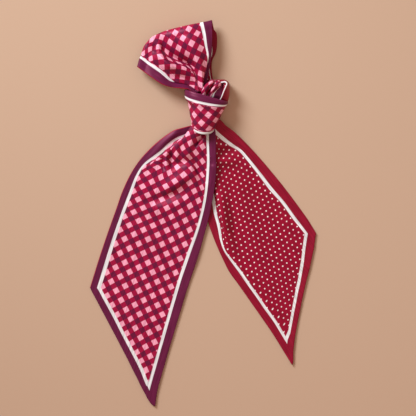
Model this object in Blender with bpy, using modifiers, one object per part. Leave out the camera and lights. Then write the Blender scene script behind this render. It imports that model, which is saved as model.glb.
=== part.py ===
# A narrow satin scarf with 45 degree ends, tied in a tie knot and laid flat on a table.
# One strip of double cloth makes, in order: the dotted tail, the back leaf of the loop, the loop's
# fold, its front leaf, the wrap round the knot, the turn at the knot's right side, the tuck that
# comes up through the loop and down behind the wrap, and the checked tail.
#
# Plan tables are in millimetres: +X to the right, +Y towards the loop, +Z up from the table.
# Each stretch is an open surface through its sections, and Solidify gives it the cloth's wall.

import math

import bmesh
import bpy
import numpy as np

MM = 0.001

# Driving sizes, in millimetres
CLOTH_WIDTH = 97.0
WALL = 1.6
SEAM_GAP = 0.3
REST_Z = WALL / 2  # the middle of a wall that lies on the table
CORE_INSET = WALL / 2 + SEAM_GAP + 0.3

# Colours as linear RGB
PLUM = (0.110, 0.016, 0.055, 1.0)
CRIMSON = (0.330, 0.010, 0.040, 1.0)
ROSE = (0.420, 0.045, 0.095, 1.0)

# How finely each stretch is cut, along and across
TAIL_ROWS, TAIL_COLUMNS = 36, 22
ROW_CROWDING = 1.5  # a tail's rows are closer to each other near the knot
LEAF_ROWS, FOLD_ROWS, LOOP_COLUMNS = 20, 7, 24
WRAP_ROWS, WRAP_COLUMNS = 11, 30
TUCK_ROWS, TUCK_COLUMNS = 14, 16
TURN_ROWS, TURN_COLUMNS = 7, 16

# The checked tail, seen from above: where its two edges run at each distance from the knot
CHECK_TAIL_EDGES = {
    "columns": ("along", "left_x", "left_y", "right_x", "right_y"),
    "rows": (
        (-12, -7.2, 91.0, 8.0, 91.0),
        (-6, -11.4, 85.4, 10.2, 83.6),
        (4, -27.0, 82.5, 11.7, 76.0),
        (15, -40.0, 76.0, 12.0, 66.0),
        (30, -51.5, 67.0, 12.5, 52.0),
        (45, -62.0, 56.5, 12.0, 37.0),
        (60, -70.0, 44.0, 10.7, 22.0),
        (80, -79.5, 26.0, 6.7, 2.5),
        (100, -87.0, 7.5, 2.5, -17.0),
        (125, -94.5, -16.5, -5.0, -41.0),
        (150, -101.6, -40.2, -13.1, -64.6),
        (186, -113.2, -74.2, -23.5, -99.0),
        (283, -144.2, -166.0, -49.1, -192.6),
    ),
}
# How high the middle of its wall is at the left edge, the centre and the right edge, and how far
# the centre of a section bows away from the knot
CHECK_TAIL_HEIGHTS = {
    "columns": ("along", "left_z", "middle_z", "right_z", "bow"),
    "rows": (
        (-12, 8.0, 11.5, 9.0, 0.0),
        (-6, 6.5, 12.5, 9.5, 2.0),
        (4, 4.5, 12.5, 10.0, 6.0),
        (15, 3.2, 10.5, 9.2, 9.0),
        (30, 2.0, 7.8, 7.8, 9.0),
        (45, 1.2, 5.4, 6.4, 7.0),
        (60, 0.8, 3.6, 5.2, 4.5),
        (80, 0.8, 1.8, 3.8, 2.0),
        (100, 0.8, 0.8, 2.0, 0.5),
        (125, 0.8, 0.8, 0.8, 0.0),
        (283, 0.8, 0.8, 0.8, 0.0),
    ),
}

# The dotted tail: here the left edge is the long one
DOT_TAIL_EDGES = {
    "columns": ("along", "left_x", "left_y", "right_x", "right_y"),
    "rows": (
        (-8, -3.0, 91.0, 8.5, 91.0),
        (-2, -2.0, 78.0, 10.4, 84.4),
        (6, -1.0, 66.0, 17.6, 87.2),
        (15, -2.0, 56.0, 27.0, 83.6),
        (30, -2.0, 41.0, 39.2, 73.8),
        (45, -0.8, 26.0, 49.7, 63.0),
        (60, 1.1, 11.4, 59.8, 52.0),
        (80, 5.1, -8.2, 73.0, 36.9),
        (100, 11.6, -27.1, 85.8, 21.5),
        (125, 21.4, -50.2, 100.3, 1.2),
        (151, 35.4, -72.6, 113.2, -21.5),
        (248, 90.5, -152.5, 173.1, -98.0),
    ),
}
DOT_TAIL_HEIGHTS = {
    "columns": ("along", "left_z", "middle_z", "right_z", "bow"),
    "rows": (
        (-8, 4.2, 4.9, 4.6, 0.0),
        (-2, 3.0, 4.6, 4.4, 2.0),
        (6, 2.0, 4.2, 4.0, 4.0),
        (15, 1.4, 3.8, 3.0, 6.0),
        (30, 0.8, 3.0, 2.0, 6.0),
        (45, 0.8, 2.6, 1.2, 5.0),
        (60, 0.8, 2.2, 0.8, 3.5),
        (80, 0.8, 1.6, 0.8, 2.0),
        (100, 0.8, 1.0, 0.8, 0.5),
        (125, 0.8, 0.8, 0.8, 0.0),
        (248, 0.8, 0.8, 0.8, 0.0),
    ),
}

# Folds that stand up or sink in a stretch: the curve each one follows in plan, from one end past
# the middle point to the other, its half width, and its height, which is negative in a valley
FOLD_COLUMNS = ("from_x", "from_y", "via_x", "via_y", "to_x", "to_y", "half_width", "height")
CHECK_TAIL_FOLDS = {
    "columns": FOLD_COLUMNS,
    "rows": (
        (-13.0, 86.0, -24.0, 75.0, -38.0, 60.0, 3.2, -3.6),
        (-11.0, 82.0, -22.0, 70.0, -36.0, 53.0, 3.6, 2.6),
        (-7.0, 82.0, -13.0, 68.0, -22.0, 50.0, 2.6, -1.8),
        (-3.0, 82.0, -7.0, 68.0, -12.0, 46.0, 3.4, 2.4),
        (1.0, 80.0, -2.0, 70.0, -5.0, 60.0, 2.4, -1.8),
        (4.5, 78.0, 3.0, 60.0, -0.5, 29.0, 2.6, -2.8),
        (9.0, 82.0, 10.0, 60.0, 8.0, 34.0, 3.4, 1.6),
        (-31.0, 60.0, -34.0, 52.0, -33.0, 40.0, 3.0, -2.2),
        (-14.0, 42.0, -24.0, 30.0, -34.0, 24.0, 6.0, 1.8),
        (-54.0, 24.0, -42.0, 14.0, -26.0, 8.0, 6.0, -1.4),
        (-60.0, 44.0, -58.0, 34.0, -66.0, 18.0, 5.0, 1.2),
    ),
}
DOT_TAIL_FOLDS = {
    "columns": FOLD_COLUMNS,
    "rows": (
        (12.0, 76.0, 24.0, 70.0, 38.0, 66.0, 3.6, 2.0),
        (11.0, 60.0, 24.0, 60.0, 38.0, 56.0, 3.6, -2.0),
        (12.0, 52.0, 26.0, 52.0, 40.0, 46.0, 4.0, 2.0),
        (14.0, 40.0, 15.0, 18.0, 24.0, -10.0, 4.6, 3.2),
        (24.0, 20.0, 27.0, -10.0, 40.0, -46.0, 5.0, -1.6),
        (36.0, 24.0, 42.0, -4.0, 54.0, -34.0, 6.0, 1.4),
    ),
}

# The loop, by columns across the cloth from its lower left edge to its right edge: the crest of
# its fold, then the curve of each leaf in plan, from where it enters the knot past two points
LOOP_CREST = {
    "columns": ("across", "x", "y"),
    "rows": (
        (0.000, -66.1, 145.6),
        (0.217, -59.5, 165.3),
        (0.348, -52.0, 175.3),
        (0.503, -38.5, 181.8),
        (0.652, -24.5, 184.5),
        (0.877, -3.5, 189.1),
        (1.000, 7.9, 192.0),
    ),
}
LEAF_COLUMNS = ("across", "in_x", "in_y", "near_x", "near_y", "far_x", "far_y")
LOOP_FRONT = {
    "columns": LEAF_COLUMNS,
    "rows": (
        (0.000, -15.0, 118.0, -15.6, 128.0, -46.0, 120.5),
        (0.217, -12.0, 117.6, -22.5, 132.0, -42.0, 145.0),
        (0.348, -9.0, 117.0, -21.5, 136.0, -38.0, 155.4),
        (0.503, -6.0, 116.2, -15.5, 138.0, -27.8, 159.9),
        (0.652, -3.3, 115.6, -9.0, 139.5, -17.2, 162.5),
        (0.877, 0.8, 114.8, 2.3, 138.5, 0.6, 166.0),
        (1.000, 3.0, 114.4, 6.0, 136.0, 11.0, 166.0),
    ),
}
LOOP_BACK = {
    "columns": LEAF_COLUMNS,
    "rows": (
        (0.000, -9.5, 116.4, -16.0, 127.0, -36.0, 134.0),
        (0.217, -6.5, 115.8, -17.0, 131.0, -40.0, 150.0),
        (0.348, -4.0, 115.4, -15.0, 134.5, -35.0, 158.0),
        (0.503, -1.0, 114.9, -10.0, 137.0, -25.0, 161.0),
        (0.652, 2.0, 114.4, -3.0, 138.0, -12.0, 163.0),
        (0.877, 7.0, 113.6, 5.5, 135.0, 7.0, 166.0),
        (1.000, 9.5, 113.2, 2.5, 136.0, 22.5, 163.0),
    ),
}
# The heights of the front leaf and of the leaf below, from the knot to the fold
LOOP_HEIGHTS = {
    "columns": ("along", "edge_z", "middle_z", "below_z"),
    "rows": (
        (0.0, 9.5, 14.0, 3.6),
        (0.1, 11.5, 16.5, 3.4),
        (0.25, 13.2, 19.0, 2.0),
        (0.45, 13.5, 20.5, 0.8),
        (0.7, 14.0, 20.5, 0.8),
        (1.0, 14.5, 18.0, 0.8),
    ),
}
LOOP_FOLDS = {
    "columns": FOLD_COLUMNS,
    "rows": (
        (-46.0, 170.0, -30.0, 152.0, -16.0, 148.0, 4.6, -4.2),
        (-24.0, 152.0, -12.0, 146.0, -7.0, 122.0, 3.6, -3.0),
        (-50.0, 162.0, -30.0, 146.0, -12.0, 124.0, 4.2, 2.2),
        (-53.0, 174.0, -50.0, 166.0, -43.0, 157.0, 3.6, -2.4),
        (-46.0, 140.0, -28.0, 134.0, -14.0, 123.0, 3.4, -2.2),
        (-4.0, 150.0, -1.0, 138.0, -2.0, 121.0, 2.4, -1.8),
        (4.0, 158.0, 4.0, 140.0, 1.0, 121.0, 2.4, -1.6),
        (-10.0, 176.0, -8.0, 160.0, -8.0, 146.0, 6.0, 1.6),
    ),
}
FOLD_REACH = 7.0  # how far the fold's round goes past its centre line

# The wrap round the knot, from its upper edge to its lower edge: its two sides, how far its
# front hangs down between them, and how high it stands
WRAP = {
    "columns": ("down", "left_x", "left_y", "right_x", "right_y", "sag", "crest"),
    "rows": (
        (0.00, -19.0, 120.8, 24.0, 113.5, 0.5, 21.5),
        (0.12, -19.2, 119.0, 24.0, 111.0, 2.0, 23.5),
        (0.27, -17.0, 114.5, 22.5, 107.0, 5.0, 24.0),
        (0.55, -14.0, 103.0, 18.8, 101.0, 8.0, 22.5),
        (0.85, -12.0, 92.5, 14.2, 92.0, 8.2, 19.5),
        (1.00, -12.0, 88.2, 12.8, 87.0, 8.5, 17.5),
    ),
}
WIDEST_SHARE = 0.40  # the wrap is widest at this share of its height
UNDERSIDE_SPREAD = 1.7  # flattens the wrap where it rests
CORE_SPAN = (0.24, 0.66)  # the part of the wrap's length that the hidden layers fill

# The tuck: across its rows from the mouth of the wrap, over the top, and down behind
TUCK = {
    "columns": ("along", "left_x", "left_y", "left_z", "right_x", "right_y", "right_z", "pleat"),
    "rows": (
        (0.00, -1.6, 115.4, 17.2, 15.6, 112.0, 16.0, 0.3),
        (0.20, -1.2, 119.0, 18.6, 16.5, 116.2, 17.4, 1.3),
        (0.45, 1.6, 125.0, 18.8, 18.2, 122.5, 17.8, 1.6),
        (0.65, 5.4, 130.0, 17.0, 20.5, 128.0, 16.4, 1.2),
        (0.80, 8.6, 132.0, 12.0, 22.0, 129.8, 11.6, 0.6),
        (1.00, 11.4, 131.0, 2.4, 21.6, 128.5, 2.4, 0.2),
    ),
}
TUCK_PLEATS = 3.0

# The turn: the edge of the tuck, rolled back at the knot's right so that its other side shows.
# From the wrap's mouth up and round to the left: its inner line, and the line that it rolls down to
TURN = {
    "columns": ("along", "inner_x", "inner_y", "inner_z", "outer_x", "outer_y", "low_z"),
    "rows": (
        (0.00, 17.9, 115.8, 16.6, 25.2, 115.0, 2.4),
        (0.30, 19.6, 120.5, 17.4, 26.0, 120.5, 1.8),
        (0.55, 22.2, 126.3, 17.0, 26.0, 127.0, 1.4),
        (0.75, 22.6, 131.0, 15.5, 24.6, 132.6, 1.4),
        (1.00, 13.4, 133.4, 11.0, 13.4, 135.2, 1.6),
    ),
}


def clear_scene():
    for item in list(bpy.data.objects):
        bpy.data.objects.remove(item, do_unlink=True)


def cloth_material(name, colour):
    """Satin: a smooth face with a soft, broad highlight."""
    material = bpy.data.materials.new(name)
    material.use_nodes = True
    shader = material.node_tree.nodes["Principled BSDF"]
    shader.inputs["Base Color"].default_value = colour
    shader.inputs["Roughness"].default_value = 0.38
    shader.inputs["Metallic"].default_value = 0.0
    return material


def smooth_at(table, where):
    """Every column of a table at one place along its first column, on a smooth curve."""
    rows = np.array(table["rows"], float)
    key = rows[:, 0]
    where = min(max(where, key[0]), key[-1])
    slopes = np.gradient(rows, key, axis=0)
    i = min(int(np.searchsorted(key, where, side="right")) - 1, len(key) - 2)
    span = key[i + 1] - key[i]
    t = (where - key[i]) / span
    values = (
        (2 * t**3 - 3 * t**2 + 1) * rows[i]
        + (t**3 - 2 * t**2 + t) * span * slopes[i]
        + (3 * t**2 - 2 * t**3) * rows[i + 1]
        + (t**3 - t**2) * span * slopes[i + 1]
    )
    return dict(zip(table["columns"], values))


def quadratic(start, via, end, share):
    """A point on the curve from start to end that bends towards via."""
    return (1 - share) ** 2 * start + 2 * share * (1 - share) * via + share**2 * end


def fold_height(folds, x, y):
    """The summed height of the folds at a point in plan. Each fades out at its two ends."""
    total = 0.0
    shares = np.linspace(0.0, 1.0, 41)[:, None]
    for row in folds["rows"]:
        fold = dict(zip(folds["columns"], row))
        start, via, end = (
            np.array([fold[point + "_x"], fold[point + "_y"]]) for point in ("from", "via", "to")
        )
        away = np.linalg.norm(quadratic(start, via, end, shares) - (x, y), axis=1)
        nearest = int(np.argmin(away))
        fade = math.sin(math.pi * shares[nearest, 0]) ** 0.8
        total += fold["height"] * fade * math.exp(-((away[nearest] / fold["half_width"]) ** 2))
    return total


def three_point(left, middle, right, share):
    """A curve through three values at shares 0, 0.5 and 1."""
    return (
        left * (1 - share) * (1 - 2 * share)
        + middle * 4 * share * (1 - share)
        + right * share * (2 * share - 1)
    )


def lay_surface(name, grid, material, closed_round=False):
    """An object whose mesh runs through a grid of points, given in millimetres."""
    rows, columns = len(grid), len(grid[0])
    mesh = bpy.data.meshes.new(name)
    shape = bmesh.new()
    points = [[shape.verts.new([value * MM for value in point]) for point in row] for row in grid]
    for i in range(rows - 1):
        for j in range(columns if closed_round else columns - 1):
            k = (j + 1) % columns
            shape.faces.new((points[i][j], points[i][k], points[i + 1][k], points[i + 1][j]))
    shape.to_mesh(mesh)
    shape.free()
    mesh.shade_smooth()
    item = bpy.data.objects.new(name, mesh)
    item.data.materials.append(material)
    return item


def give_wall(item):
    """The cloth's thickness, half to each side of the surface, with diagonals that follow folds."""
    solidify = item.modifiers.new("cloth wall", "SOLIDIFY")
    solidify.thickness = WALL * MM
    solidify.offset = 0.0
    solidify.use_even_offset = True
    solidify.use_quality_normals = True
    triangulate = item.modifiers.new("diagonals", "TRIANGULATE")
    triangulate.quad_method = "BEAUTY"


def tail(name, edges, heights, folds, long_edge, material):
    """A tail of the scarf: a strip that fans out of the knot and ends in a 45 degree cut."""
    first, last = edges["rows"][0][0], edges["rows"][-1][0]
    grid = []
    for i in range(TAIL_ROWS + 1):
        row = []
        for j in range(TAIL_COLUMNS + 1):
            share = j / TAIL_COLUMNS
            shortfall = (share if long_edge == "left" else 1 - share) * CLOTH_WIDTH
            along = first + (last - shortfall - first) * (i / TAIL_ROWS) ** ROW_CROWDING
            edge, high = smooth_at(edges, along), smooth_at(heights, along)
            left = np.array([edge["left_x"], edge["left_y"]])
            right = np.array([edge["right_x"], edge["right_y"]])
            across = right - left
            ahead = np.array([across[1], -across[0]]) / np.linalg.norm(across)
            plan = left + across * share + ahead * high["bow"] * 4 * share * (1 - share)
            z = three_point(high["left_z"], high["middle_z"], high["right_z"], share)
            z += fold_height(folds, *plan)
            row.append((plan[0], plan[1], max(z, REST_Z)))
        grid.append(row)
    item = lay_surface(name, grid, material)
    give_wall(item)
    return item


def leaf_curve(table, share, end):
    """One leaf's curve in plan at a share across the cloth, as a function of the share along it."""
    row = smooth_at(table, share)
    start, near, far = (np.array([row[k + "_x"], row[k + "_y"]]) for k in ("in", "near", "far"))
    return lambda t: (
        (1 - t) ** 3 * start
        + 3 * t * (1 - t) ** 2 * near
        + 3 * t**2 * (1 - t) * far
        + t**3 * end
    )


def loop(material):
    """The loop: the front leaf from the knot up to the fold, round it, and back underneath."""
    grid = []
    for j in range(LOOP_COLUMNS + 1):
        share = j / LOOP_COLUMNS
        crest = smooth_at(LOOP_CREST, share)
        crest = np.array([crest["x"], crest["y"]])
        far = smooth_at(LOOP_FRONT, share)
        outward = crest - np.array([far["far_x"], far["far_y"]])
        outward /= np.linalg.norm(outward)
        centre = crest - outward * FOLD_REACH
        front = leaf_curve(LOOP_FRONT, share, centre)
        back = leaf_curve(LOOP_BACK, share, centre)
        middle = 4 * share * (1 - share)
        line = []
        for i in range(LEAF_ROWS):
            high = smooth_at(LOOP_HEIGHTS, i / LEAF_ROWS)
            plan = front(i / LEAF_ROWS)
            z = high["edge_z"] + (high["middle_z"] - high["edge_z"]) * middle
            line.append((plan[0], plan[1], z + fold_height(LOOP_FOLDS, *plan)))
        high = smooth_at(LOOP_HEIGHTS, 1.0)
        top = high["edge_z"] + (high["middle_z"] - high["edge_z"]) * middle
        for i in range(FOLD_ROWS + 1):
            turn = math.pi * i / FOLD_ROWS
            plan = centre + outward * FOLD_REACH * math.sin(turn)
            z = (top + REST_Z) / 2 + (top - REST_Z) / 2 * math.cos(turn)
            line.append((plan[0], plan[1], z))
        for i in range(1, LEAF_ROWS + 1):
            along = 1 - i / LEAF_ROWS
            plan = back(along)
            z = max(smooth_at(LOOP_HEIGHTS, along)["below_z"], REST_Z)
            line.append((plan[0], plan[1], z))
        grid.append(line)
    item = lay_surface("loop", grid, material)
    give_wall(item)
    return item


def wrap_section(down, inset=0.0):
    """The closed ring of points round the knot at one place between the wrap's two edges."""
    row = smooth_at(WRAP, down)
    left = np.array([row["left_x"], row["left_y"]])
    right = np.array([row["right_x"], row["right_y"]])
    middle, half = (left + right) / 2, (right - left) / 2
    half = half * (1 - inset / np.linalg.norm(half))
    crest, floor = row["crest"] - inset, REST_Z + inset
    widest = row["crest"] * WIDEST_SHARE
    ring = []
    for j in range(WRAP_COLUMNS):
        turn = 2 * math.pi * j / WRAP_COLUMNS
        height = math.sin(turn)
        plan = middle + half * math.cos(turn)
        if height > 0:
            z = widest + (crest - widest) * height
            plan = plan + np.array([0.0, -row["sag"] * height])
        else:
            z = widest - (widest - floor) * min(1.0, -height * UNDERSIDE_SPREAD)
        ring.append((plan[0], plan[1], z))
    return ring


def wrap(material):
    """The band of cloth round the knot."""
    rings = [wrap_section(i / WRAP_ROWS) for i in range(WRAP_ROWS + 1)]
    item = lay_surface("knot_wrap", rings, material, closed_round=True)
    give_wall(item)
    return item


def core(material):
    """The hidden layers inside the wrap, as one rounded solid."""
    first, last = CORE_SPAN
    rings = [
        wrap_section(first + (last - first) * i / WRAP_ROWS, CORE_INSET)
        for i in range(WRAP_ROWS + 1)
    ]
    item = lay_surface("knot_core", rings, material, closed_round=True)
    shape = bmesh.new()
    shape.from_mesh(item.data)
    rims = [edge for edge in shape.edges if edge.is_boundary]
    bmesh.ops.holes_fill(shape, edges=rims, sides=0)
    bmesh.ops.recalc_face_normals(shape, faces=shape.faces[:])
    shape.to_mesh(item.data)
    shape.free()
    return item


def tuck(material):
    """The stretch that comes up through the loop, over, and down behind the wrap."""
    grid = []
    for i in range(TUCK_ROWS + 1):
        row = smooth_at(TUCK, i / TUCK_ROWS)
        left = np.array([row["left_x"], row["left_y"], row["left_z"]])
        right = np.array([row["right_x"], row["right_y"], row["right_z"]])
        line = []
        for j in range(TUCK_COLUMNS + 1):
            share = j / TUCK_COLUMNS
            point = left + (right - left) * share
            point[2] += row["pleat"] * math.sin(2 * math.pi * TUCK_PLEATS * share)
            line.append(tuple(point))
        grid.append(line)
    item = lay_surface("knot_tuck", grid, material)
    give_wall(item)
    return item


def turn_band(material):
    """The rolled edge that shows at the knot's right."""
    grid = []
    for i in range(TURN_COLUMNS + 1):
        row = smooth_at(TURN, i / TURN_COLUMNS)
        inner = np.array([row["inner_x"], row["inner_y"], row["inner_z"]])
        shoulder = np.array([row["outer_x"], row["outer_y"], row["inner_z"]])
        foot = np.array([row["outer_x"], row["outer_y"], row["low_z"]])
        line = [quadratic(inner, shoulder, foot, j / TURN_ROWS) for j in range(TURN_ROWS + 1)]
        grid.append([tuple(point) for point in line])
    item = lay_surface("knot_turn", grid, material)
    give_wall(item)
    return item


def main():
    clear_scene()
    check, dot = cloth_material("check satin", ROSE), cloth_material("dot satin", CRIMSON)
    border = cloth_material("border satin", PLUM)
    scarf = bpy.data.collections.new("satin scarf")
    bpy.context.scene.collection.children.link(scarf)
    stretches = (
        tail("tail_check", CHECK_TAIL_EDGES, CHECK_TAIL_HEIGHTS, CHECK_TAIL_FOLDS, "right", check),
        tail("tail_dot", DOT_TAIL_EDGES, DOT_TAIL_HEIGHTS, DOT_TAIL_FOLDS, "left", dot),
        loop(check),
        wrap(check),
        core(border),
        tuck(check),
        turn_band(dot),
    )
    for item in stretches:
        scarf.objects.link(item)


main()
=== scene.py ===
import math

import bpy
import numpy as np
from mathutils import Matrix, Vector


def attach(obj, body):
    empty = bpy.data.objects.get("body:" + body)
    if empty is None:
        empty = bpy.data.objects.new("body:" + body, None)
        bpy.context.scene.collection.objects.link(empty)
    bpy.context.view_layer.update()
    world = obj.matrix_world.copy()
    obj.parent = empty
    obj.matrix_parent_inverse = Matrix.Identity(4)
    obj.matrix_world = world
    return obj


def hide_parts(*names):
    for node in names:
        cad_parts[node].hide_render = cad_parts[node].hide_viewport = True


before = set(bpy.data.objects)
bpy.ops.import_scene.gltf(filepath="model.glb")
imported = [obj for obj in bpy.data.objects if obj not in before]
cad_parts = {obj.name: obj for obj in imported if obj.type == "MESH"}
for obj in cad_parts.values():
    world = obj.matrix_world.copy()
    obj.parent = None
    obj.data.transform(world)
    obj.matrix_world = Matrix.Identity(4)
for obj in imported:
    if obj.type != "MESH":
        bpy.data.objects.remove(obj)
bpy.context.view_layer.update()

# Everything below is in millimetres as seen from above: x to the right, y towards the loop and z up
# from the table. The strip has its own coordinates: s from the checked tip, t across it.
mm = 0.001

strip = {
    "width": 97.0,
    "length": 860.0,     # from tip to tip
    "border": 9.2,       # plain border round both panels
    "stripe": 3.1,       # white stripe inside the border
    "thickness": 0.6,    # two satin panels, sewn together and turned
    "lowest": 0.35,      # the middle of the cloth where it lies on the table
    "checkCut": 89.1,    # s + t where the print would run out at the checked end
    "dotCut": 863.8,     # and at the dotted end: both cuts go through the borders
    "blur": 0.15,        # how far the print's edges are soft, to each side
}
stripeEnd = strip["border"] + strip["stripe"]    # t where the patterned field begins
slant = math.sqrt(0.5)                           # a step at 45 degrees, as seen along s or t


def srgbToLinear(hexColour):
    channels = [int(hexColour[i:i + 2], 16) / 255 for i in (1, 3, 5)]
    linear = [c / 12.92 if c <= 0.04045 else ((c + 0.055) / 1.055) ** 2.4 for c in channels]
    return (*linear, 1.0)


def addNode(tree, kind, settings=None, links=None):
    # one node with its settings, by socket or by attribute, and what is plugged into it
    node = tree.nodes.new("ShaderNode" + kind)
    for name, value in (settings or {}).items():
        if isinstance(name, int) or name in node.inputs:
            node.inputs[name].default_value = value
        else:
            setattr(node, name, value)
    for name, source in (links or {}).items():
        tree.links.new(getattr(source, "outputs", [source])[0], node.inputs[name])
    return node


def smoothThrough(keys, values, where):
    # a smooth curve through values at keys, read at every place in where
    keys, values = np.asarray(keys, float), np.asarray(values, float)
    where = np.clip(np.asarray(where, float), keys[0], keys[-1])
    slopes = np.gradient(values, keys, axis=0)
    i = np.clip(np.searchsorted(keys, where, side="right") - 1, 0, len(keys) - 2)
    span = keys[i + 1] - keys[i]
    extra = (1,) * (values.ndim - 1)
    u, span = ((where - keys[i]) / span).reshape(-1, *extra), span.reshape(-1, *extra)
    return (
        (2 * u**3 - 3 * u**2 + 1) * values[i] + (u**3 - 2 * u**2 + u) * span * slopes[i]
        + (3 * u**2 - 2 * u**3) * values[i + 1] + (u**3 - u**2) * span * slopes[i + 1]
    )


def readRail(rows, where):
    # a rail is a line in space by rows of (key, x, y, z)
    rows = np.array(rows, float)
    return smoothThrough(rows[:, 0], rows[:, 1:], where)


def readAlong(rows, where):
    # a value that changes smoothly, by rows of (key, value)
    return smoothThrough(*zip(*rows), where)


def readBow(rows, t):
    # how far a cut's curve stands off its straight line, by rows of (t, distance)
    return np.interp(t, *zip(*rows))


def printMap(pins):
    # the print's (s, t) all over a stretch, bent smoothly through pins of (x, y, s, t). A little
    # give at each pin evens out what was read a few tenths of a millimetre off
    give = 0.5
    pins = np.array(pins, float)
    xy, count = pins[:, :2], len(pins)

    def bend(points):
        away = ((points[:, None, :] - xy[None]) ** 2).sum(2)
        return 0.5 * away * np.log(np.maximum(away, 1e-9))

    flat = np.column_stack([np.ones(count), xy])
    system = np.block([[bend(xy) + give * np.eye(count), flat], [flat.T, np.zeros((3, 3))]])
    weights = np.linalg.solve(system, np.vstack([pins[:, 2:], np.zeros((3, 2))]))

    def read(points):
        points = np.asarray(points, float).reshape(-1, 2)
        level = np.column_stack([np.ones(len(points)), points])
        return bend(points) @ weights[:count] + level @ weights[count:]

    return read


def foldLift(folds, points):
    # how much the folds raise each point in plan. A fold is a line of (x, y, height), with a width
    # to its left and to its right, and a sharpness of 2 where it is round
    stepsPerPoint = 12
    lift = np.zeros(len(points))
    for line, leftWidth, rightWidth, sharpness in folds:
        line = np.array(line, float)
        steps = np.linspace(0, len(line) - 1, stepsPerPoint * len(line))
        fine = smoothThrough(np.arange(len(line)), line, steps)
        away = points[:, None, :] - fine[None, :, :2]
        nearest = (away**2).sum(2).argmin(1)
        ahead = np.gradient(fine[:, :2], axis=0)[nearest]
        offset = away[np.arange(len(points)), nearest]
        side = ahead[:, 0] * offset[:, 1] - ahead[:, 1] * offset[:, 0]
        width = np.where(side > 0, leftWidth, rightWidth)
        distance = np.linalg.norm(offset, axis=1) / width
        lift += fine[nearest, 2] * np.exp(-(distance**sharpness))
    return lift


def softWaves(x, y, height):
    # the slight unevenness of cloth that lies loose: two sizes of soft waves that don't repeat
    return height * (
        np.sin(x / 17.0 + y / 29.0 + 0.6) * np.sin(y / 23.0 - x / 41.0 + 1.9)
        + 0.6 * np.sin(x / 9.0 - y / 13.0 + 2.2) * np.sin(y / 11.0 + x / 31.0)
    )


def sewCloth(name, grid, prints, flipped=False, closedRound=False):
    # grid is rows x columns x 3 in millimetres, and prints holds (s, t) for each of its points. The
    # checked side is the one from which columns, then rows, turn anticlockwise, unless it is flipped
    rows, columns = grid.shape[:2]
    mesh = bpy.data.meshes.new(name)
    index = np.arange(rows * columns).reshape(rows, columns)
    if closedRound:
        index = np.column_stack([index, index[:, :1]])
        prints = np.concatenate([prints, prints[:, :1]], axis=1)
    quads = np.stack([index[:-1, :-1], index[:-1, 1:], index[1:, 1:], index[1:, :-1]], axis=-1)
    corners = np.stack([prints[:-1, :-1], prints[:-1, 1:], prints[1:, 1:], prints[1:, :-1]], axis=2)
    if flipped:
        quads, corners = quads[..., ::-1], corners[:, :, ::-1]
    mesh.from_pydata((grid.reshape(-1, 3) * mm).tolist(), [], quads.reshape(-1, 4).tolist())
    layer = mesh.uv_layers.new(name="cloth")
    layer.data.foreach_set("uv", (corners.reshape(-1, 2) * mm).astype(np.float32).ravel())
    mesh.shade_smooth()
    piece = bpy.data.objects.new(name, mesh)
    bpy.context.scene.collection.objects.link(piece)
    for material in (checkSatin, dotSatin, seamEdge):
        mesh.materials.append(material)
    shell = piece.modifiers.new("two panels", "SOLIDIFY")
    shell.thickness, shell.offset = strip["thickness"] * mm, 0.0
    shell.material_offset, shell.material_offset_rim = 1, 2
    return piece


def clothPlace(tree):
    # where each point lies on the flat strip, in millimetres, and how far it is from the cut edges
    scaled = addNode(tree, "VectorMath", {"operation": "SCALE", "Scale": 1 / mm},
                     {0: addNode(tree, "UVMap", {"uv_map": "cloth"})})
    place = addNode(tree, "SeparateXYZ", links={0: scaled})
    s, t = place.outputs[0], place.outputs[1]
    fromFar = addNode(tree, "Math", {"operation": "SUBTRACT", 0: strip["width"]}, {1: t})
    fromEdge = addNode(tree, "Math", {"operation": "MINIMUM"}, {0: t, 1: fromFar})
    diagonal = addNode(tree, "Math", {"operation": "ADD"}, {0: s, 1: t})
    for side, cut in ((1, strip["checkCut"]), (-1, strip["dotCut"])):
        towards = {"operation": "MULTIPLY_ADD", 1: side * slant, 2: -side * cut * slant}
        fromCut = addNode(tree, "Math", towards, {0: diagonal})
        fromEdge = addNode(tree, "Math", {"operation": "MINIMUM"}, {0: fromEdge, 1: fromCut})
    return scaled, s, t, fromEdge


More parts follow.
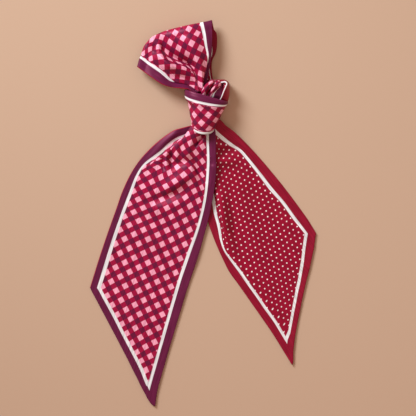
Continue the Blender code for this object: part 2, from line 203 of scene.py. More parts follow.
def satinShader(material, colour, scaled, look, onCloth):
    # Woven polyester satin: long floats of smooth yarn along the strip, so it is glossy, with a
    # highlight that is drawn out across the floats and faint lines along them
    tree = material.node_tree
    shader = tree.nodes["Principled BSDF"]
    low, high = look["noiseRange"]
    perMillimetre = (look["floatLength"], look["floatLines"], 0.0)
    drawnOut = addNode(tree, "VectorMath", {"operation": "MULTIPLY", 1: perMillimetre}, {0: scaled})
    floats = addNode(tree, "TexNoise",
                     {"noise_dimensions": "2D", "Scale": 1.0, "Detail": 2.0, "Roughness": 0.6},
                     {"Vector": drawnOut})
    dark, light = 1 - look["lineShade"], 1 + look["lineShade"]
    shade = addNode(tree, "MapRange", {"From Min": low, "From Max": high, "To Min": dark, "To Max": light},
                    {"Value": floats})
    shaded = addNode(tree, "VectorMath", {"operation": "SCALE"}, {0: colour, "Scale": shade})
    patches = addNode(tree, "TexNoise", {"noise_dimensions": "2D", "Scale": look["patches"], "Detail": 2.0},
                      {"Vector": scaled})
    glossy, dull = look["roughness"]
    gloss = addNode(tree, "MapRange", {"From Min": low, "From Max": high, "To Min": glossy, "To Max": dull},
                    {"Value": patches})
    relief = addNode(tree, "Bump", {"Strength": look["relief"], "Distance": look["reliefDepth"]},
                     {"Height": floats})
    for socket, node in (("Base Color", shaded), ("Roughness", gloss), ("Normal", relief)):
        tree.links.new(node.outputs[0], shader.inputs[socket])
    if onCloth:
        along = addNode(tree, "Tangent", {"direction_type": "UV_MAP", "uv_map": "cloth"})
        tree.links.new(along.outputs[0], shader.inputs["Tangent"])
        shader.inputs["Anisotropic"].default_value = look["anisotropic"]
        shader.inputs["Anisotropic Rotation"].default_value = look["drawnTurn"]
    shader.inputs["IOR"].default_value = look["ior"]
    shader.inputs["Specular IOR Level"].default_value = look["specular"]
    shader.inputs["Specular Tint"].default_value = srgbToLinear(look["glint"])


satin = {
    "floatLength": 0.05,          # lines per millimetre along the strip
    "floatLines": 0.75,           # and across it; the yarns are 0.1 mm apart, drawn coarser so that they show
    "lineShade": 0.2,             # how much lighter and darker the lines are than the print
    "noiseRange": (0.3, 0.7),     # where nearly all of the noise lies
    "patches": 0.03,              # duller patches per millimetre
    "roughness": (0.36, 0.45),    # in the glossiest patches and in the dullest
    "relief": 0.25,               # how much of its depth the lines' relief shows
    "reliefDepth": 0.0002,        # in metres
    "anisotropic": 0.45,
    "drawnTurn": 0.25,            # a quarter turn, so that highlights are drawn out across the floats
    "ior": 1.5,
    "specular": 0.42,
    "glint": "#ff9aad",           # light that goes in between the dyed yarns and comes out coloured
}


def newMaterial(name):
    material = bpy.data.materials.new(name)
    material.use_nodes = True
    return material


def plainSatin(name, hexColour, onCloth):
    # the same satin without a print, on cloth or on a solid that has no place on the strip
    material = newMaterial(name)
    tree = material.node_tree
    if onCloth:
        scaled = clothPlace(tree)[0]
    else:
        place = addNode(tree, "TexCoord").outputs["Object"]
        scaled = addNode(tree, "VectorMath", {"operation": "SCALE", "Scale": 1 / mm}, {0: place})
    plain = addNode(tree, "RGB")
    plain.outputs[0].default_value = srgbToLinear(hexColour)
    satinShader(material, plain.outputs[0], scaled, satin, onCloth)
    return material


def framePrint(tree, field, fromEdge, frames):
    # lays each frame round what is inside it: how far in it ends, how soft it ends and its colour
    for endsAt, blur, hexColour in frames:
        past = addNode(tree, "MapRange", {"From Min": endsAt - blur, "From Max": endsAt + blur},
                       {"Value": fromEdge})
        field = addNode(tree, "Mix", {"data_type": "RGBA", 6: srgbToLinear(hexColour)},
                        {0: past, 7: field}).outputs[2]
    return field


# Gingham, printed on polyester satin: rose squares, crimson where one stripe crosses and plum where
# two do. Squares are about 5.2 mm, at 45 degrees to the strip
checkPrint = {
    "repeat": 10.37,
    "onRose": (117.6, 35.5),    # s and t at the middle of one rose square
    "rose": "#fcabc4",
    "crimson": "#a0063a",
    "plum": "#560d34",
    "white": "#efeef0",
    "border": "#661d42",
    "line": "#d0406a",
    "lineSpacing": 1.25,        # fine lighter lines along each printed stripe
    "lineStrength": 0.16,
    "seam": "#a5112f",
    "seamShows": 0.45,          # the dotted panel rolls over the seam, so a thin crimson line shows
    "seamBlur": 0.1,
}
roseStep = checkPrint["repeat"] * slant    # from one rose square to the next, along s and along t

checkSatin = newMaterial("printed polyester satin, gingham")
tree = checkSatin.node_tree
scaled, s, t, fromEdge = clothPlace(tree)
centreS, centreT = checkPrint["onRose"]
quarter, halfLine = checkPrint["repeat"] / 4, checkPrint["lineSpacing"] / 2
squareStart, squareEnd = quarter - strip["blur"], quarter + strip["blur"]
bands = []
for operation, centre in (("ADD", centreS + centreT), ("SUBTRACT", centreS - centreT)):
    diagonal = addNode(tree, "Math", {"operation": operation}, {0: s, 1: t})
    across = addNode(tree, "Math", {"operation": "MULTIPLY_ADD", 1: slant, 2: -centre * slant}, {0: diagonal})
    fromRose = addNode(tree, "Math", {"operation": "PINGPONG", 1: checkPrint["repeat"] / 2}, {0: across})
    printed = addNode(tree, "MapRange", {"From Min": squareStart, "From Max": squareEnd}, {"Value": fromRose})
    fromLine = addNode(tree, "Math", {"operation": "PINGPONG", 1: halfLine}, {0: across})
    lines = addNode(tree, "MapRange", {"From Max": halfLine, "To Max": checkPrint["lineStrength"]},
                    {"Value": fromLine})
    lines = addNode(tree, "Math", {"operation": "MULTIPLY"}, {0: lines, 1: printed})
    bands.append((printed, lines))
(oneWay, oneLines), (otherWay, otherLines) = bands
rose, crimson, plum, line = (srgbToLinear(checkPrint[k]) for k in ("rose", "crimson", "plum", "line"))
roseRow = addNode(tree, "Mix", {"data_type": "RGBA", 6: rose, 7: crimson}, {0: oneWay}).outputs[2]
plumRow = addNode(tree, "Mix", {"data_type": "RGBA", 6: crimson, 7: plum}, {0: oneWay}).outputs[2]
field = addNode(tree, "Mix", {"data_type": "RGBA"}, {0: otherWay, 6: roseRow, 7: plumRow})
allLines = addNode(tree, "Math", {"operation": "MAXIMUM"}, {0: oneLines, 1: otherLines})
field = addNode(tree, "Mix", {"data_type": "RGBA", 7: line}, {0: allLines, 6: field.outputs[2]})
whole = framePrint(tree, field.outputs[2], fromEdge, [
    (stripeEnd, strip["blur"], checkPrint["white"]),
    (strip["border"], strip["blur"], checkPrint["border"]),
    (checkPrint["seamShows"], checkPrint["seamBlur"], checkPrint["seam"]),
])
satinShader(checkSatin, whole, scaled, satin, onCloth=True)

# Pin dots, printed on the same satin: white dots 1.5 mm across on crimson, 5.1 mm apart in rows
# that are 5.6 mm apart, each row shifted by half
dotPrint = {
    "across": 5.08,
    "alongTwoRows": 11.16,
    "radius": 0.73,
    "onDot": (3.0, 2.0),    # s and t at the middle of one dot
    "field": "#9a0f30",
    "dot": "#fff2f4",
    "white": "#efeef0",
    "border": "#92142f",
}

dotSatin = newMaterial("printed polyester satin, pin dots")
tree = dotSatin.node_tree
scaled, s, t, fromEdge = clothPlace(tree)
nearestDots = []
for shift in (0.0, 0.5):
    offsets = []
    for source, repeat, centre in (
        (s, dotPrint["alongTwoRows"], dotPrint["onDot"][0]),
        (t, dotPrint["across"], dotPrint["onDot"][1]),
    ):
        moved = addNode(tree, "Math", {"operation": "SUBTRACT", 1: centre + shift * repeat}, {0: source})
        offsets.append(addNode(tree, "Math", {"operation": "PINGPONG", 1: repeat / 2}, {0: moved}))
    pair = addNode(tree, "CombineXYZ", links={0: offsets[0], 1: offsets[1]})
    nearestDots.append(addNode(tree, "VectorMath", {"operation": "LENGTH"}, {0: pair}).outputs["Value"])
nearestDot = addNode(tree, "Math", {"operation": "MINIMUM"}, {0: nearestDots[0], 1: nearestDots[1]})
dotStart, dotEnd = dotPrint["radius"] - strip["blur"], dotPrint["radius"] + strip["blur"]
outsideDot = addNode(tree, "MapRange", {"From Min": dotStart, "From Max": dotEnd}, {"Value": nearestDot})
dot, ground = srgbToLinear(dotPrint["dot"]), srgbToLinear(dotPrint["field"])
field = addNode(tree, "Mix", {"data_type": "RGBA", 6: dot, 7: ground}, {0: outsideDot})
whole = framePrint(tree, field.outputs[2], fromEdge, [
    (stripeEnd, strip["blur"], dotPrint["white"]),
    (strip["border"], strip["blur"], dotPrint["border"]),
])
satinShader(dotSatin, whole, scaled, satin, onCloth=True)

# The seam's edge: the dotted panel rolls over it a little, so a thin crimson line shows. What the
# knot hides is plain
plainColours = {"seamEdge": "#96142f", "knotCore": "#641a40"}
seamEdge = plainSatin("polyester satin, seam edge", plainColours["seamEdge"], onCloth=True)
coreSatin = plainSatin("polyester satin, plain plum", plainColours["knotCore"], onCloth=False)
print("materials made")

photoMiddle = (203.0, 213.0)    # the photo's own place of x 0 and y 0; its places are 1 mm apart


def px(rows, heights):
    # a rail by rows of (key, x, y) in the photo's own places, with its heights by key
    lifted = readAlong(heights, [row[0] for row in rows])
    return [(key, x - photoMiddle[0], photoMiddle[1] - y, z) for (key, x, y), z in zip(rows, lifted)]


def rosePins(rows, sAtFirst, tAtFirst):
    # where rose squares show, by x, y and the steps to them from a first one: one step in m is the
    # next square across and back along the strip, and one in n the next across and on
    return [(x, y, sAtFirst + roseStep * (n - m), tAtFirst + roseStep * (m + n)) for x, y, m, n in rows]


def cutPins(look):
    # the print follows the cut: pins on it, and further in than the border and the stripe
    (x0, y0, t0), (x1, y1, t1) = look["cut"]
    cut = math.hypot(x1 - x0, y1 - y0)
    pins = []
    for share in look["pinShares"]:
        t = t0 + (t1 - t0) * share
        bowIn = readBow(look["cutBow"], t) * slant
        x = x0 + (x1 - x0) * share + bowIn * (y0 - y1) / cut
        y = y0 + (y1 - y0) * share + bowIn * (x1 - x0) / cut
        for inward in (0, look["pinInward"]):
            pins.append((
                x + inward * (y0 - y1) / cut, y + inward * (x1 - x0) / cut,
                look["cutSum"] - t + inward * slant, t + inward * slant,
            ))
    return pins


# What the two tails share: the pleat by the left border, the cut's edge and how they lie
bothTails = {
    "pleatT": 6,           # how much t the pleat's columns take
    "leastPleat": 2,       # and the least that the print takes on them
    "pleatBack": 1.5,      # the layer that comes back reaches further in than the one that goes in
    "pleatDrop": 0.1,      # how far it goes down, as a share of how deep it goes in
    "foldsStop": 4,        # a pleat as deep as this hides the folds
    "lipRoll": 1.6,        # how much the lip of a deep pleat is rounded upwards
    "lipRollFrom": 6,      # how deep it has to be for that
    "lipRollWidth": 1.2,   # and over what width it is rounded
    "stripeRoom": 0.2,     # the pinned print stays this far inside the stripes
    "bowReach": 90,        # how far from the cut the print still follows its curve
    "curlReach": 6,        # how far from the cut its edge lifts
    "looseOver": 40,       # over what length the cloth goes over to lying loose
    "looseHeight": 0.25,   # and how high its waves are
}


def layTail(name, look, flipped):
    # Rails run from inside the knot to the cut end, by distance along the strip. Between them lie
    # the left border, a pleat that goes out under the field and back, the field and the right border
    pleatEnd, fieldEnd = stripeEnd + bothTails["pleatT"], strip["width"] - stripeEnd
    zones = [
        ("leftEdge", "leftInner", look["columns"][0], look["tAtEdges"][0], stripeEnd),
        ("leftInner", "lip", look["columns"][1], stripeEnd, pleatEnd),
        ("lip", "rightInner", look["columns"][2], pleatEnd, fieldEnd),
        ("rightInner", "rightEdge", look["columns"][3], fieldEnd, look["tAtEdges"][1]),
    ]
    readPrint = printMap(look["pins"] + cutPins(look)) if "pins" in look else None
    shares = np.linspace(0, 1, look["rows"] + 1) ** look["crowding"]
    columns, prints = [], []
    for number, (near, far, count, tNear, tFar) in enumerate(zones):
        for k in range(count + (number == len(zones) - 1)):
            u = k / count
            t = tNear + (tFar - tNear) * u
            fromTip = strip["width"] - t if look["longEdge"] == "right" else t
            bow = readBow(look["cutBow"], t)
            end = look["tip"] - ((fromTip * look["cutLean"]) ** 3 + look["blunt"] ** 3) ** (1 / 3) - bow
            along = look["start"] + (end - look["start"]) * shares
            a, b = readRail(look[near], along), readRail(look[far], along)
            lip, right = readRail(look["lip"], along), readRail(look["rightInner"], along)
            wide = np.linalg.norm((right - lip)[:, :2], axis=1)
            depth = readAlong(look["pleatDepth"], along)
            line = a + (b - a) * u
            if near == "leftInner":
                outward = right - a
                outward[:, 2] = 0
                outward *= (depth / np.linalg.norm(outward, axis=1))[:, None]
                under = a + (b - a) / 3 + outward
                back = a + (b - a) * 2 / 3 + outward * bothTails["pleatBack"]
                under[:, 2] -= depth * bothTails["pleatDrop"]
                line = (1 - u) ** 3 * a + 3 * u * (1 - u) ** 2 * under + 3 * u**2 * (1 - u) * back + u**3 * b
            if readPrint:
                s, tLip = readPrint(line[:, :2])[:, 0], readPrint(lip[:, :2])[:, 1]
            else:
                printBow = bow + readBow(look["printBow"], t)
                follows = np.clip(1 - (end - along) / bothTails["bowReach"], 0, 1)
                s = strip["length"] - look["tip"] + along + printBow * follows**2
                tLip = np.clip(fieldEnd - wide, stripeEnd + bothTails["leastPleat"], None)
            if near == "leftEdge" and not k:
                tNow = np.full(len(along), look["seamLine"])
            elif near == "leftEdge":
                tNow = readAlong(look["hidden"], along) * (1 - u) + tFar * u
            elif near == "leftInner":
                tNow = stripeEnd + (tLip - stripeEnd) * u
            elif near == "lip":
                line[:, 2] += readAlong(look["crown"], along) * 4 * u * (1 - u)
                roll = bothTails["lipRoll"] * np.clip(depth / bothTails["lipRollFrom"], 0, 1)
                line[:, 2] += roll * (1 - np.exp(-u * wide / bothTails["lipRollWidth"])) - roll * u
                tNow = tLip + (tFar - tLip) * u
                if readPrint:
                    room = bothTails["stripeRoom"]
                    tNow = np.clip(readPrint(line[:, :2])[:, 1], stripeEnd + room, tFar - room)
            else:
                tNow = np.full(len(along), t)
            line[:, 2] += look["curl"] * np.exp(-(((end - along) / bothTails["curlReach"]) ** 2))
            columns.append(line)
            prints.append(np.column_stack([s, tNow]))
    grid, prints = np.stack(columns, axis=1), np.stack(prints, axis=1)
    lift = foldLift(look["folds"], grid[..., :2].reshape(-1, 2)).reshape(grid.shape[:2])
    # what lies deep in the pleat is not lifted with the field above it
    first, count = look["columns"][:2]
    inPleat = np.linspace(-1, 1, count + 1)[1:]
    depth = readAlong(look["pleatDepth"], look["start"] + (look["tip"] - look["start"]) * shares)
    deep = np.clip(depth / bothTails["foldsStop"], 0, 1)
    lift[:, first + 1:first + 1 + count] *= 1 - deep[:, None] * (1 - inPleat**2)
    loose = np.clip((grid[..., 1] - look["looseFrom"]) / -bothTails["looseOver"], 0, 1)
    waves = softWaves(grid[..., 0] + look["tip"], grid[..., 1], bothTails["looseHeight"])
    grid[..., 2] += lift + loose * (waves + bothTails["looseHeight"])
    grid[..., 2] = np.maximum(grid[..., 2], strip["lowest"])
    return sewCloth(name, grid, prints, flipped=flipped)


checkTail = {
    "rows": 250,
    "columns": (12, 12, 92, 14),    # in the left border, the pleat, the field and the right border
    "crowding": 1.35,      # rows lie closer together near the knot
    "start": -24.0,        # distances along the strip, from inside the knot to the tip
    "tip": 287.5,
    "cutLean": 1.058,      # how far the cut runs along the strip for each step across
    # how far the cut stands in from that line, by t
    "cutBow": [
        (0, 0), (6.5, -0.2), (13, 0.6), (26, 0.9), (40, 1.3), (53, 1.2), (60, 1.0), (66, 0.4), (73, 0),
        (79, -0.9), (86, -1.2), (92, -1.3), (97, -0.8),
    ],
    "blunt": 4.2,          # how much the tip is rounded
    "curl": 0.3,           # how high the cut edge lifts
    "longEdge": "right",   # the side that reaches the tip
    "tAtEdges": (2.6, 96.4),    # t at the left edge and at the right, where the cut meets them
    # how much of the left border is rolled under, by distance
    "hidden": [(-24, 0), (24, 0), (60, 1.4), (100, 2.6), (300, 2.6)],
    "seamLine": -3.0,      # t at the edge itself, so that the seam shows there as a thin line
    "looseFrom": 60.0,     # y below which the cloth lies more and more loosely
    # rails by distance, x, y and z
    "leftEdge": [
        (-24, -5, 93, 9), (-14, -10.5, 88, 8), (-6, -18.6, 85.6, 6.5), (4, -28.4, 82.8, 5),
        (14, -37, 77.5, 3.8), (24, -45, 71.5, 2.8), (36, -53.7, 63.5, 1.9), (50, -63, 53.2, 1.2),
        (66, -71.8, 40, 0.7), (84, -80.3, 22.4, 0.4), (104, -87, 3.4, 0.35), (130, -95.7, -21, 0.35),
        (160, -105.2, -49.5, 0.35), (186, -112.5, -73, 0.35), (287.5, -146, -168.8, 0.35),
    ],
    "leftInner": [
        (-24, -4, 88, 6), (-14, -11, 80.5, 4.4), (-6, -19, 76, 3.4), (4, -27, 72.4, 2.8),
        (14, -34.3, 66.7, 2.4), (24, -40.5, 60.3, 2.2), (36, -47.3, 55.2, 1.8), (50, -57.6, 47.8, 1.5),
        (66, -64.8, 37, 1.2), (84, -71.1, 19.4, 0.8), (104, -78.3, 0.5, 0.4), (130, -86.6, -23.9, 0.35),
        (160, -95.2, -52.2, 0.35), (186, -102.8, -76.8, 0.35), (287.5, -136.3, -172.6, 0.35),
    ],
    "lip": [
        (-24, -11, 88.5, 9.6), (-14, -14.4, 83, 10.2), (-6, -18, 77.4, 10.4), (4, -22.6, 72, 9.8),
        (14, -30.6, 65.6, 7.6), (24, -38.4, 59.4, 5.4), (36, -45.4, 54.2, 3.4), (50, -54.6, 45.8, 2.1),
        (66, -60.4, 35.2, 1.6), (84, -65.4, 17.8, 1.1), (104, -72.4, -1.1, 0.6), (130, -80.7, -25.6, 0.35),
        (160, -89.3, -53.9, 0.35), (186, -96.9, -78.5, 0.35), (287.5, -130.4, -174.3, 0.35),
    ],
    "rightInner": [
        (-24, -2, 100, 11), (-14, 0.5, 92, 11), (-6, 2, 86, 10.5), (4, 3.2, 79, 9.8), (14, 3.5, 69.5, 9),
        (24, 4, 59.5, 8.2), (36, 4, 47.5, 7.2), (50, 3, 33.5, 6), (66, 1.4, 18.5, 4.6), (84, -1.8, 1.5, 3),
        (104, -7.1, -17.5, 1.5), (130, -16, -40.8, 0.9), (160, -25.6, -69.2, 0.7), (186, -32.9, -94.1, 0.7),
        (240, -47.8, -146.8, 0.7), (287.5, -60.9, -193.1, 0.6),
    ],
    "rightEdge": [
        (-24, 5, 101, 9.5), (-14, 9.2, 93, 9.8), (-6, 11.4, 87, 10.2), (4, 12.6, 79.5, 10.8),
        (14, 12.9, 69.5, 11), (24, 12.9, 59.5, 10.8), (36, 13.2, 47.5, 9.8), (50, 12.6, 33.5, 7.8),
        (66, 10.4, 17.5, 5.4), (84, 6.9, -0.2, 3.4), (104, 2, -19, 2.4), (130, -5, -44, 1.9),
        (160, -14.6, -72.5, 1.6), (186, -22.2, -97.4, 1.5), (240, -37.8, -150.1, 1.4),
        (272, -46.2, -181.4, 1.3), (287.5, -48, -196.4, 1.2),
    ],
    # how far the pleat goes under the field, and how much the field is crowned, by distance
    "pleatDepth": [(-24, 7), (-14, 7), (4, 6), (14, 4.5), (24, 2.6), (36, 1.0), (50, 0), (90, 0), (283, 0)],
    "crown": [
        (-24, 2.5), (-14, 3.2), (-6, 3.6), (4, 3.6), (14, 3.4), (24, 3.0), (36, 2.4), (50, 1.6), (66, 1.0),
        (84, 0.6), (104, 0.2), (130, 0), (283, 0),
    ],
    "folds": [
        ([(-39.5, 60, 0), (-40, 54, -2.8), (-40, 48, -3.0), (-38.5, 41, 0)], 2.8, 2.4, 2),
        ([(-30, 65, 0), (-32, 57, -4.4), (-32.4, 50, -4.6), (-30.5, 41, 0)], 3.2, 2.8, 2),
        ([(-36, 66, 0), (-36.4, 57, 1.0), (-36.4, 50, 1.2), (-36, 43, 0)], 1.8, 1.8, 2),
        ([
            (-37, 64, 0), (-34, 56, -2.4), (-30, 49, -3.0), (-23, 50, -3.0), (-15, 51.5, -3.0),
            (-8, 47.5, -3.0), (-4, 39, -2.6), (1, 28, 0),
        ], 5.0, 3.6, 2),
        ([(-43, 16, 0), (-34, 24, 2.8), (-24, 31, 3.6), (-14, 37.5, 2.4), (-8, 43, 0)], 8.0, 4.6, 2),
        ([(-62, 10, 0), (-46, 14, -2.2), (-28, 20, -2.6), (-12, 26, 0)], 4.5, 6, 2),
        ([(-66, 2, 0), (-50, 4, 1.0), (-30, 8, 1.2), (-10, 12, 0)], 5, 6, 2),
        ([(-9.5, 50, 0), (-6.2, 44, -1.6), (-2.8, 36, -1.8), (0.8, 26, 0)], 1.9, 2.1, 1.7),
        ([(-13, 40, 0), (-9, 34, 1.2), (-5, 26, 0)], 2.4, 2.4, 2),
        ([(1.5, 81, -4.4), (-2, 75, -4.4), (-5.6, 69.5, -3.4), (-8.6, 64, 0)], 1.7, 2.0, 1.7),
        ([(-13, 74, 0), (-13.5, 66, 1.6), (-15, 58, 1.2), (-17, 52, 0)], 3, 3, 2),
        ([(-20, 72, 0), (-22, 64, -1.6), (-22, 57, -1.4), (-20, 51, 0)], 2.2, 2.2, 2),
        ([(9, 84, 0), (9.4, 62, 0.9), (9.6, 44, 1.3), (8, 20, 0)], 2.6, 2.6, 2),
        ([(9, 56, 0), (9.6, 50, -1.2), (9.6, 46, 0)], 3.5, 3.5, 2),
        ([(-20, 84, 0), (-30, 77.5, 2.4), (-42, 67, 1.8), (-56, 50, 0)], 3.0, 3.0, 2),
        ([(-75, 0, 0), (-60, -20, 1.0), (-45, -34, 0.8), (-30, -42, 0)], 8, 8, 2),
        ([(-60, 6, 0), (-42, -10, -0.9), (-24, -20, 0)], 7, 7, 2),
        ([(-90, -60, 0), (-70, -80, 0.8), (-56, -96, 0)], 9, 9, 2),
        ([(-16, -116, 0), (-23, -121, 1.2), (-30, -124, 0)], 3, 3, 2),
    ],
    # the cut's two ends by x, y and t, s + t along it, and where the print is pinned to it
    "cut": ((-112.7, -74.2, 2.6), (-50.1, -196.4, 97)),
    "cutSum": 93.8,
    "pinShares": (0.06, 0.3, 0.55, 0.8, 0.97),
    "pinInward": 10.5,
    # where rose squares show: x, y, m and n
    "pins": rosePins([
        (-73.4, -58.9, 0, 0), (-27.2, -36.1, 0, 5), (-73.7, -12.1, -4, 2), (-40.7, -101.4, 5, 1),
        (-57.3, -157, 9, -3), (-52.8, -143.1, 8, -2), (-48.3, -129, 7, -1), (-44.6, -114.8, 6, 0),
        (-57.6, -133.7, 7, -2), (-67.7, -115, 5, -2), (-86.8, -77.6, 1, -2), (-37.1, 26.6, -6, 7),
        (-28, 31.9, -6, 8), (-19.6, 37.9, -6, 9), (-11.4, 44.1, -6, 10), (-6.7, 47.2, -6, 11),
        (-0.5, 51.9, -6, 12), (-42.1, 35.7, -7, 7), (-33.6, 40.1, -7, 8), (-25.8, 45.7, -7, 9),
        (-18.9, 51.9, -7, 10), (-13.6, 56, -7, 11), (-7.1, 60.1, -7, 12), (-0.5, 66.3, -7, 13),
        (-45.5, 45.7, -8, 7), (-37.1, 49.7, -8, 8), (-31.1, 52.9, -8, 9), (-26.7, 58.8, -8, 10),
        (-20.2, 65.1, -8, 11), (-12.7, 69.7, -8, 12), (-3.9, 74.7, -8, 13), (-46.1, 54.1, -9, 8),
        (-37.4, 59.1, -9, 9), (-31.4, 67.2, -9, 10), (-15.5, 78.8, -9, 12), (-6.7, 81.6, -9, 13),
        (-22.7, 23.2, -5, 8), (-13.3, 30.1, -5, 9), (-5.5, 35.1, -5, 10), (-0.8, 38.2, -5, 11),
        (-8.6, 22.2, -4, 9), (-1.1, 25.4, -4, 10),
    ], *checkPrint["onRose"]),
}
tailCheckCloth = layTail("tailCheckCloth", checkTail, flipped=True)
print("checked tail laid", len(tailCheckCloth.data.polygons))

dotTail = {
    "rows": 230,
    "columns": (14, 10, 84, 14),
    "crowding": 1.25,
    "start": -12.0,
    "tip": 248.0,
    "cutLean": 1.0,
    "cutBow": [
        (0, -0.4), (5, 0.8), (10, 3.0), (21.6, 5.1), (33.2, 5.8), (44.8, 6.0), (56.4, 4.5), (68, 2.3),
        (79.7, 1.0), (91, -0.8), (97, -1.0),
    ],
    # and how far the stripe's line stands in from the cut's, as it runs straighter
    "printBow": [
        (0, 4.0), (12, 3.9), (19, 4.6), (31, 3.0), (42, 1.1), (54, 0), (65, 1.1), (76, 3.0), (84, 3.7),
        (97, 3.7),
    ],
    "blunt": 2.4,
    "curl": 1.2,
    "longEdge": "left",
    "tAtEdges": (0.6, 96.6),
    "hidden": [(-18, 0.6), (248, 0.6)],
    "seamLine": 0.6,
    "looseFrom": 40.0,
    "leftEdge": px([
        (-18, 205, 125), (-3, 203, 140), (12, 202, 155), (27, 201.5, 170), (45, 202, 188), (62, 204, 205),
        (81.3, 208.6, 223.7), (100, 215, 241.4), (119, 222.6, 258.6), (133, 229, 271.4),
        (149.3, 238.4, 284.5), (168.7, 249.5, 300.3), (188.1, 260.6, 316.1), (207.6, 271.6, 332.1),
        (226.2, 281.5, 347.9), (248, 293.2, 367),
    ], [
        (-18, 7), (-3, 4.6), (12, 2.4), (27, 1.0), (45, 0.4), (62, 0.35), (248, 0.35),
    ]),
    "leftInner": px([
        (-12, 210, 130), (3, 212, 145), (18, 213, 160), (33, 213, 175), (48, 213.5, 190),
        (60.3, 215.2, 201.8), (70.5, 216.6, 211.8), (86.9, 220.5, 227.6), (99.6, 222.2, 240.2),
        (109.8, 225.2, 250), (122.6, 232.4, 259.7), (136.3, 240.9, 270.4), (151.8, 249.7, 283.3),
        (166.6, 258.4, 295.4), (181.5, 266.6, 307.6), (195.8, 275, 319), (217.8, 286, 337.2),
        (248, 302, 363),
    ], [
        (-12, 7.6), (3, 5.4), (18, 3.2), (33, 1.8), (48, 1.0), (60, 0.7), (86, 0.5), (100, 0.4),
        (248, 0.35),
    ]),
    "lip": px([
        (-12, 211, 129), (3, 212.5, 143.5), (18, 213.5, 158.5), (33, 213.5, 173.5), (48, 214.5, 188.5),
        (60.3, 217, 200.5), (70.5, 219.1, 210), (86.9, 223.1, 225.6), (99.6, 226, 237),
        (109.8, 229.6, 246.4), (122.6, 237, 255.9), (136.3, 245.5, 266.6), (151.8, 254.3, 279.5),
        (166.6, 263, 291.6), (181.5, 271.2, 303.8), (195.8, 279.6, 315.2), (217.8, 290.8, 333.4),
        (248, 306.8, 359.2),
    ], [
        (-12, 9.4), (3, 8.4), (18, 3.6), (33, 2.8), (48, 3.2), (60, 3.4), (70, 3), (86, 2), (100, 0.9),
        (112, 0.5), (130, 0.35), (248, 0.35),
    ]),
    "rightInner": px([
        (-12, 204, 118), (-3, 206.2, 123.6), (4.4, 210.4, 129.2), (13.2, 216.2, 135.3),
        (30.3, 229.3, 145.5), (41.5, 238.9, 151.2), (52.2, 245.9, 159.2), (72.8, 258.6, 175.4),
        (91.6, 270, 190.4), (108.9, 281.5, 203.3), (128.3, 292.9, 219), (145.8, 303.9, 232.8),
        (163.5, 314.6, 247), (248, 365.4, 314.8),
    ], [
        (-12, 9.4), (-3, 9.4), (4, 9), (13, 7.4), (30, 1.6), (41, 1.2), (52, 1.2), (73, 0.7), (92, 0.4),
        (109, 0.35), (248, 0.35),
    ]),
    "rightEdge": px([
        (-12, 209, 113), (-5.6, 214, 117), (2.8, 221.4, 120.9), (9.9, 225.8, 125.6), (20.2, 233.9, 131.6),
        (34.4, 243.8, 141), (56.7, 259.2, 157.4), (73.9, 270.7, 170.9), (89, 280.1, 182.3),
        (105.3, 290.1, 195.2), (123.6, 300.8, 209.7), (139, 309.4, 222.1), (151, 315.4, 232.4),
        (163.5, 321, 244), (248, 360, 320),
    ], [
        (-12, 7.6), (-5, 7), (3, 6), (10, 5.2), (20, 4), (34, 2.6), (57, 1), (74, 0.5), (89, 0.35),
        (248, 0.35),
    ]),
    "pleatDepth": [
        (-12, 1), (10, 2.5), (33, 4.5), (48, 5), (70, 4.5), (86, 2.5), (98, 0.6), (108, 0), (140, 0),
        (248, 0),
    ],
    "crown": [(-12, 0.6), (20, 0.8), (60, 0.6), (100, 0.2), (130, 0), (248, 0)],
    "folds": [
        ([(8, 68, 0.4), (18, 67, 0.8), (27, 68, 0.6), (36, 70, 0)], 3.0, 2.4, 2),
        ([(8, 61, -1), (18, 61.5, -2.2), (28, 62, -1.8), (38, 61, 0)], 4.0, 2.6, 2),
        ([(8, 54, 1.6), (16, 53, 4.0), (26, 52, 3.4), (37, 50, 0)], 3.6, 5.0, 2),
        ([(17, 22, 0), (18.6, 12, 2.0), (20, -4, 4.0), (24, -22, 3.2), (32, -44, 0)], 6.4, 4.0, 2),
        ([(24, 30, 0), (27, 10, -1.8), (33, -14, -2.0), (42, -42, -1.0), (50, -64, 0)], 5, 6, 2),
        ([(34, 30, 0), (42, 2, 2.0), (54, -30, 1.6), (62, -60, 0)], 7, 7, 2),
        ([(14, 82, 0), (26, 76, 0.9), (40, 66, 0.9), (54, 52, 0)], 3, 3, 2),
    ],
}
tailDotCloth = layTail("tailDotCloth", dotTail, flipped=False)
print("dotted tail laid", len(tailDotCloth.data.polygons))

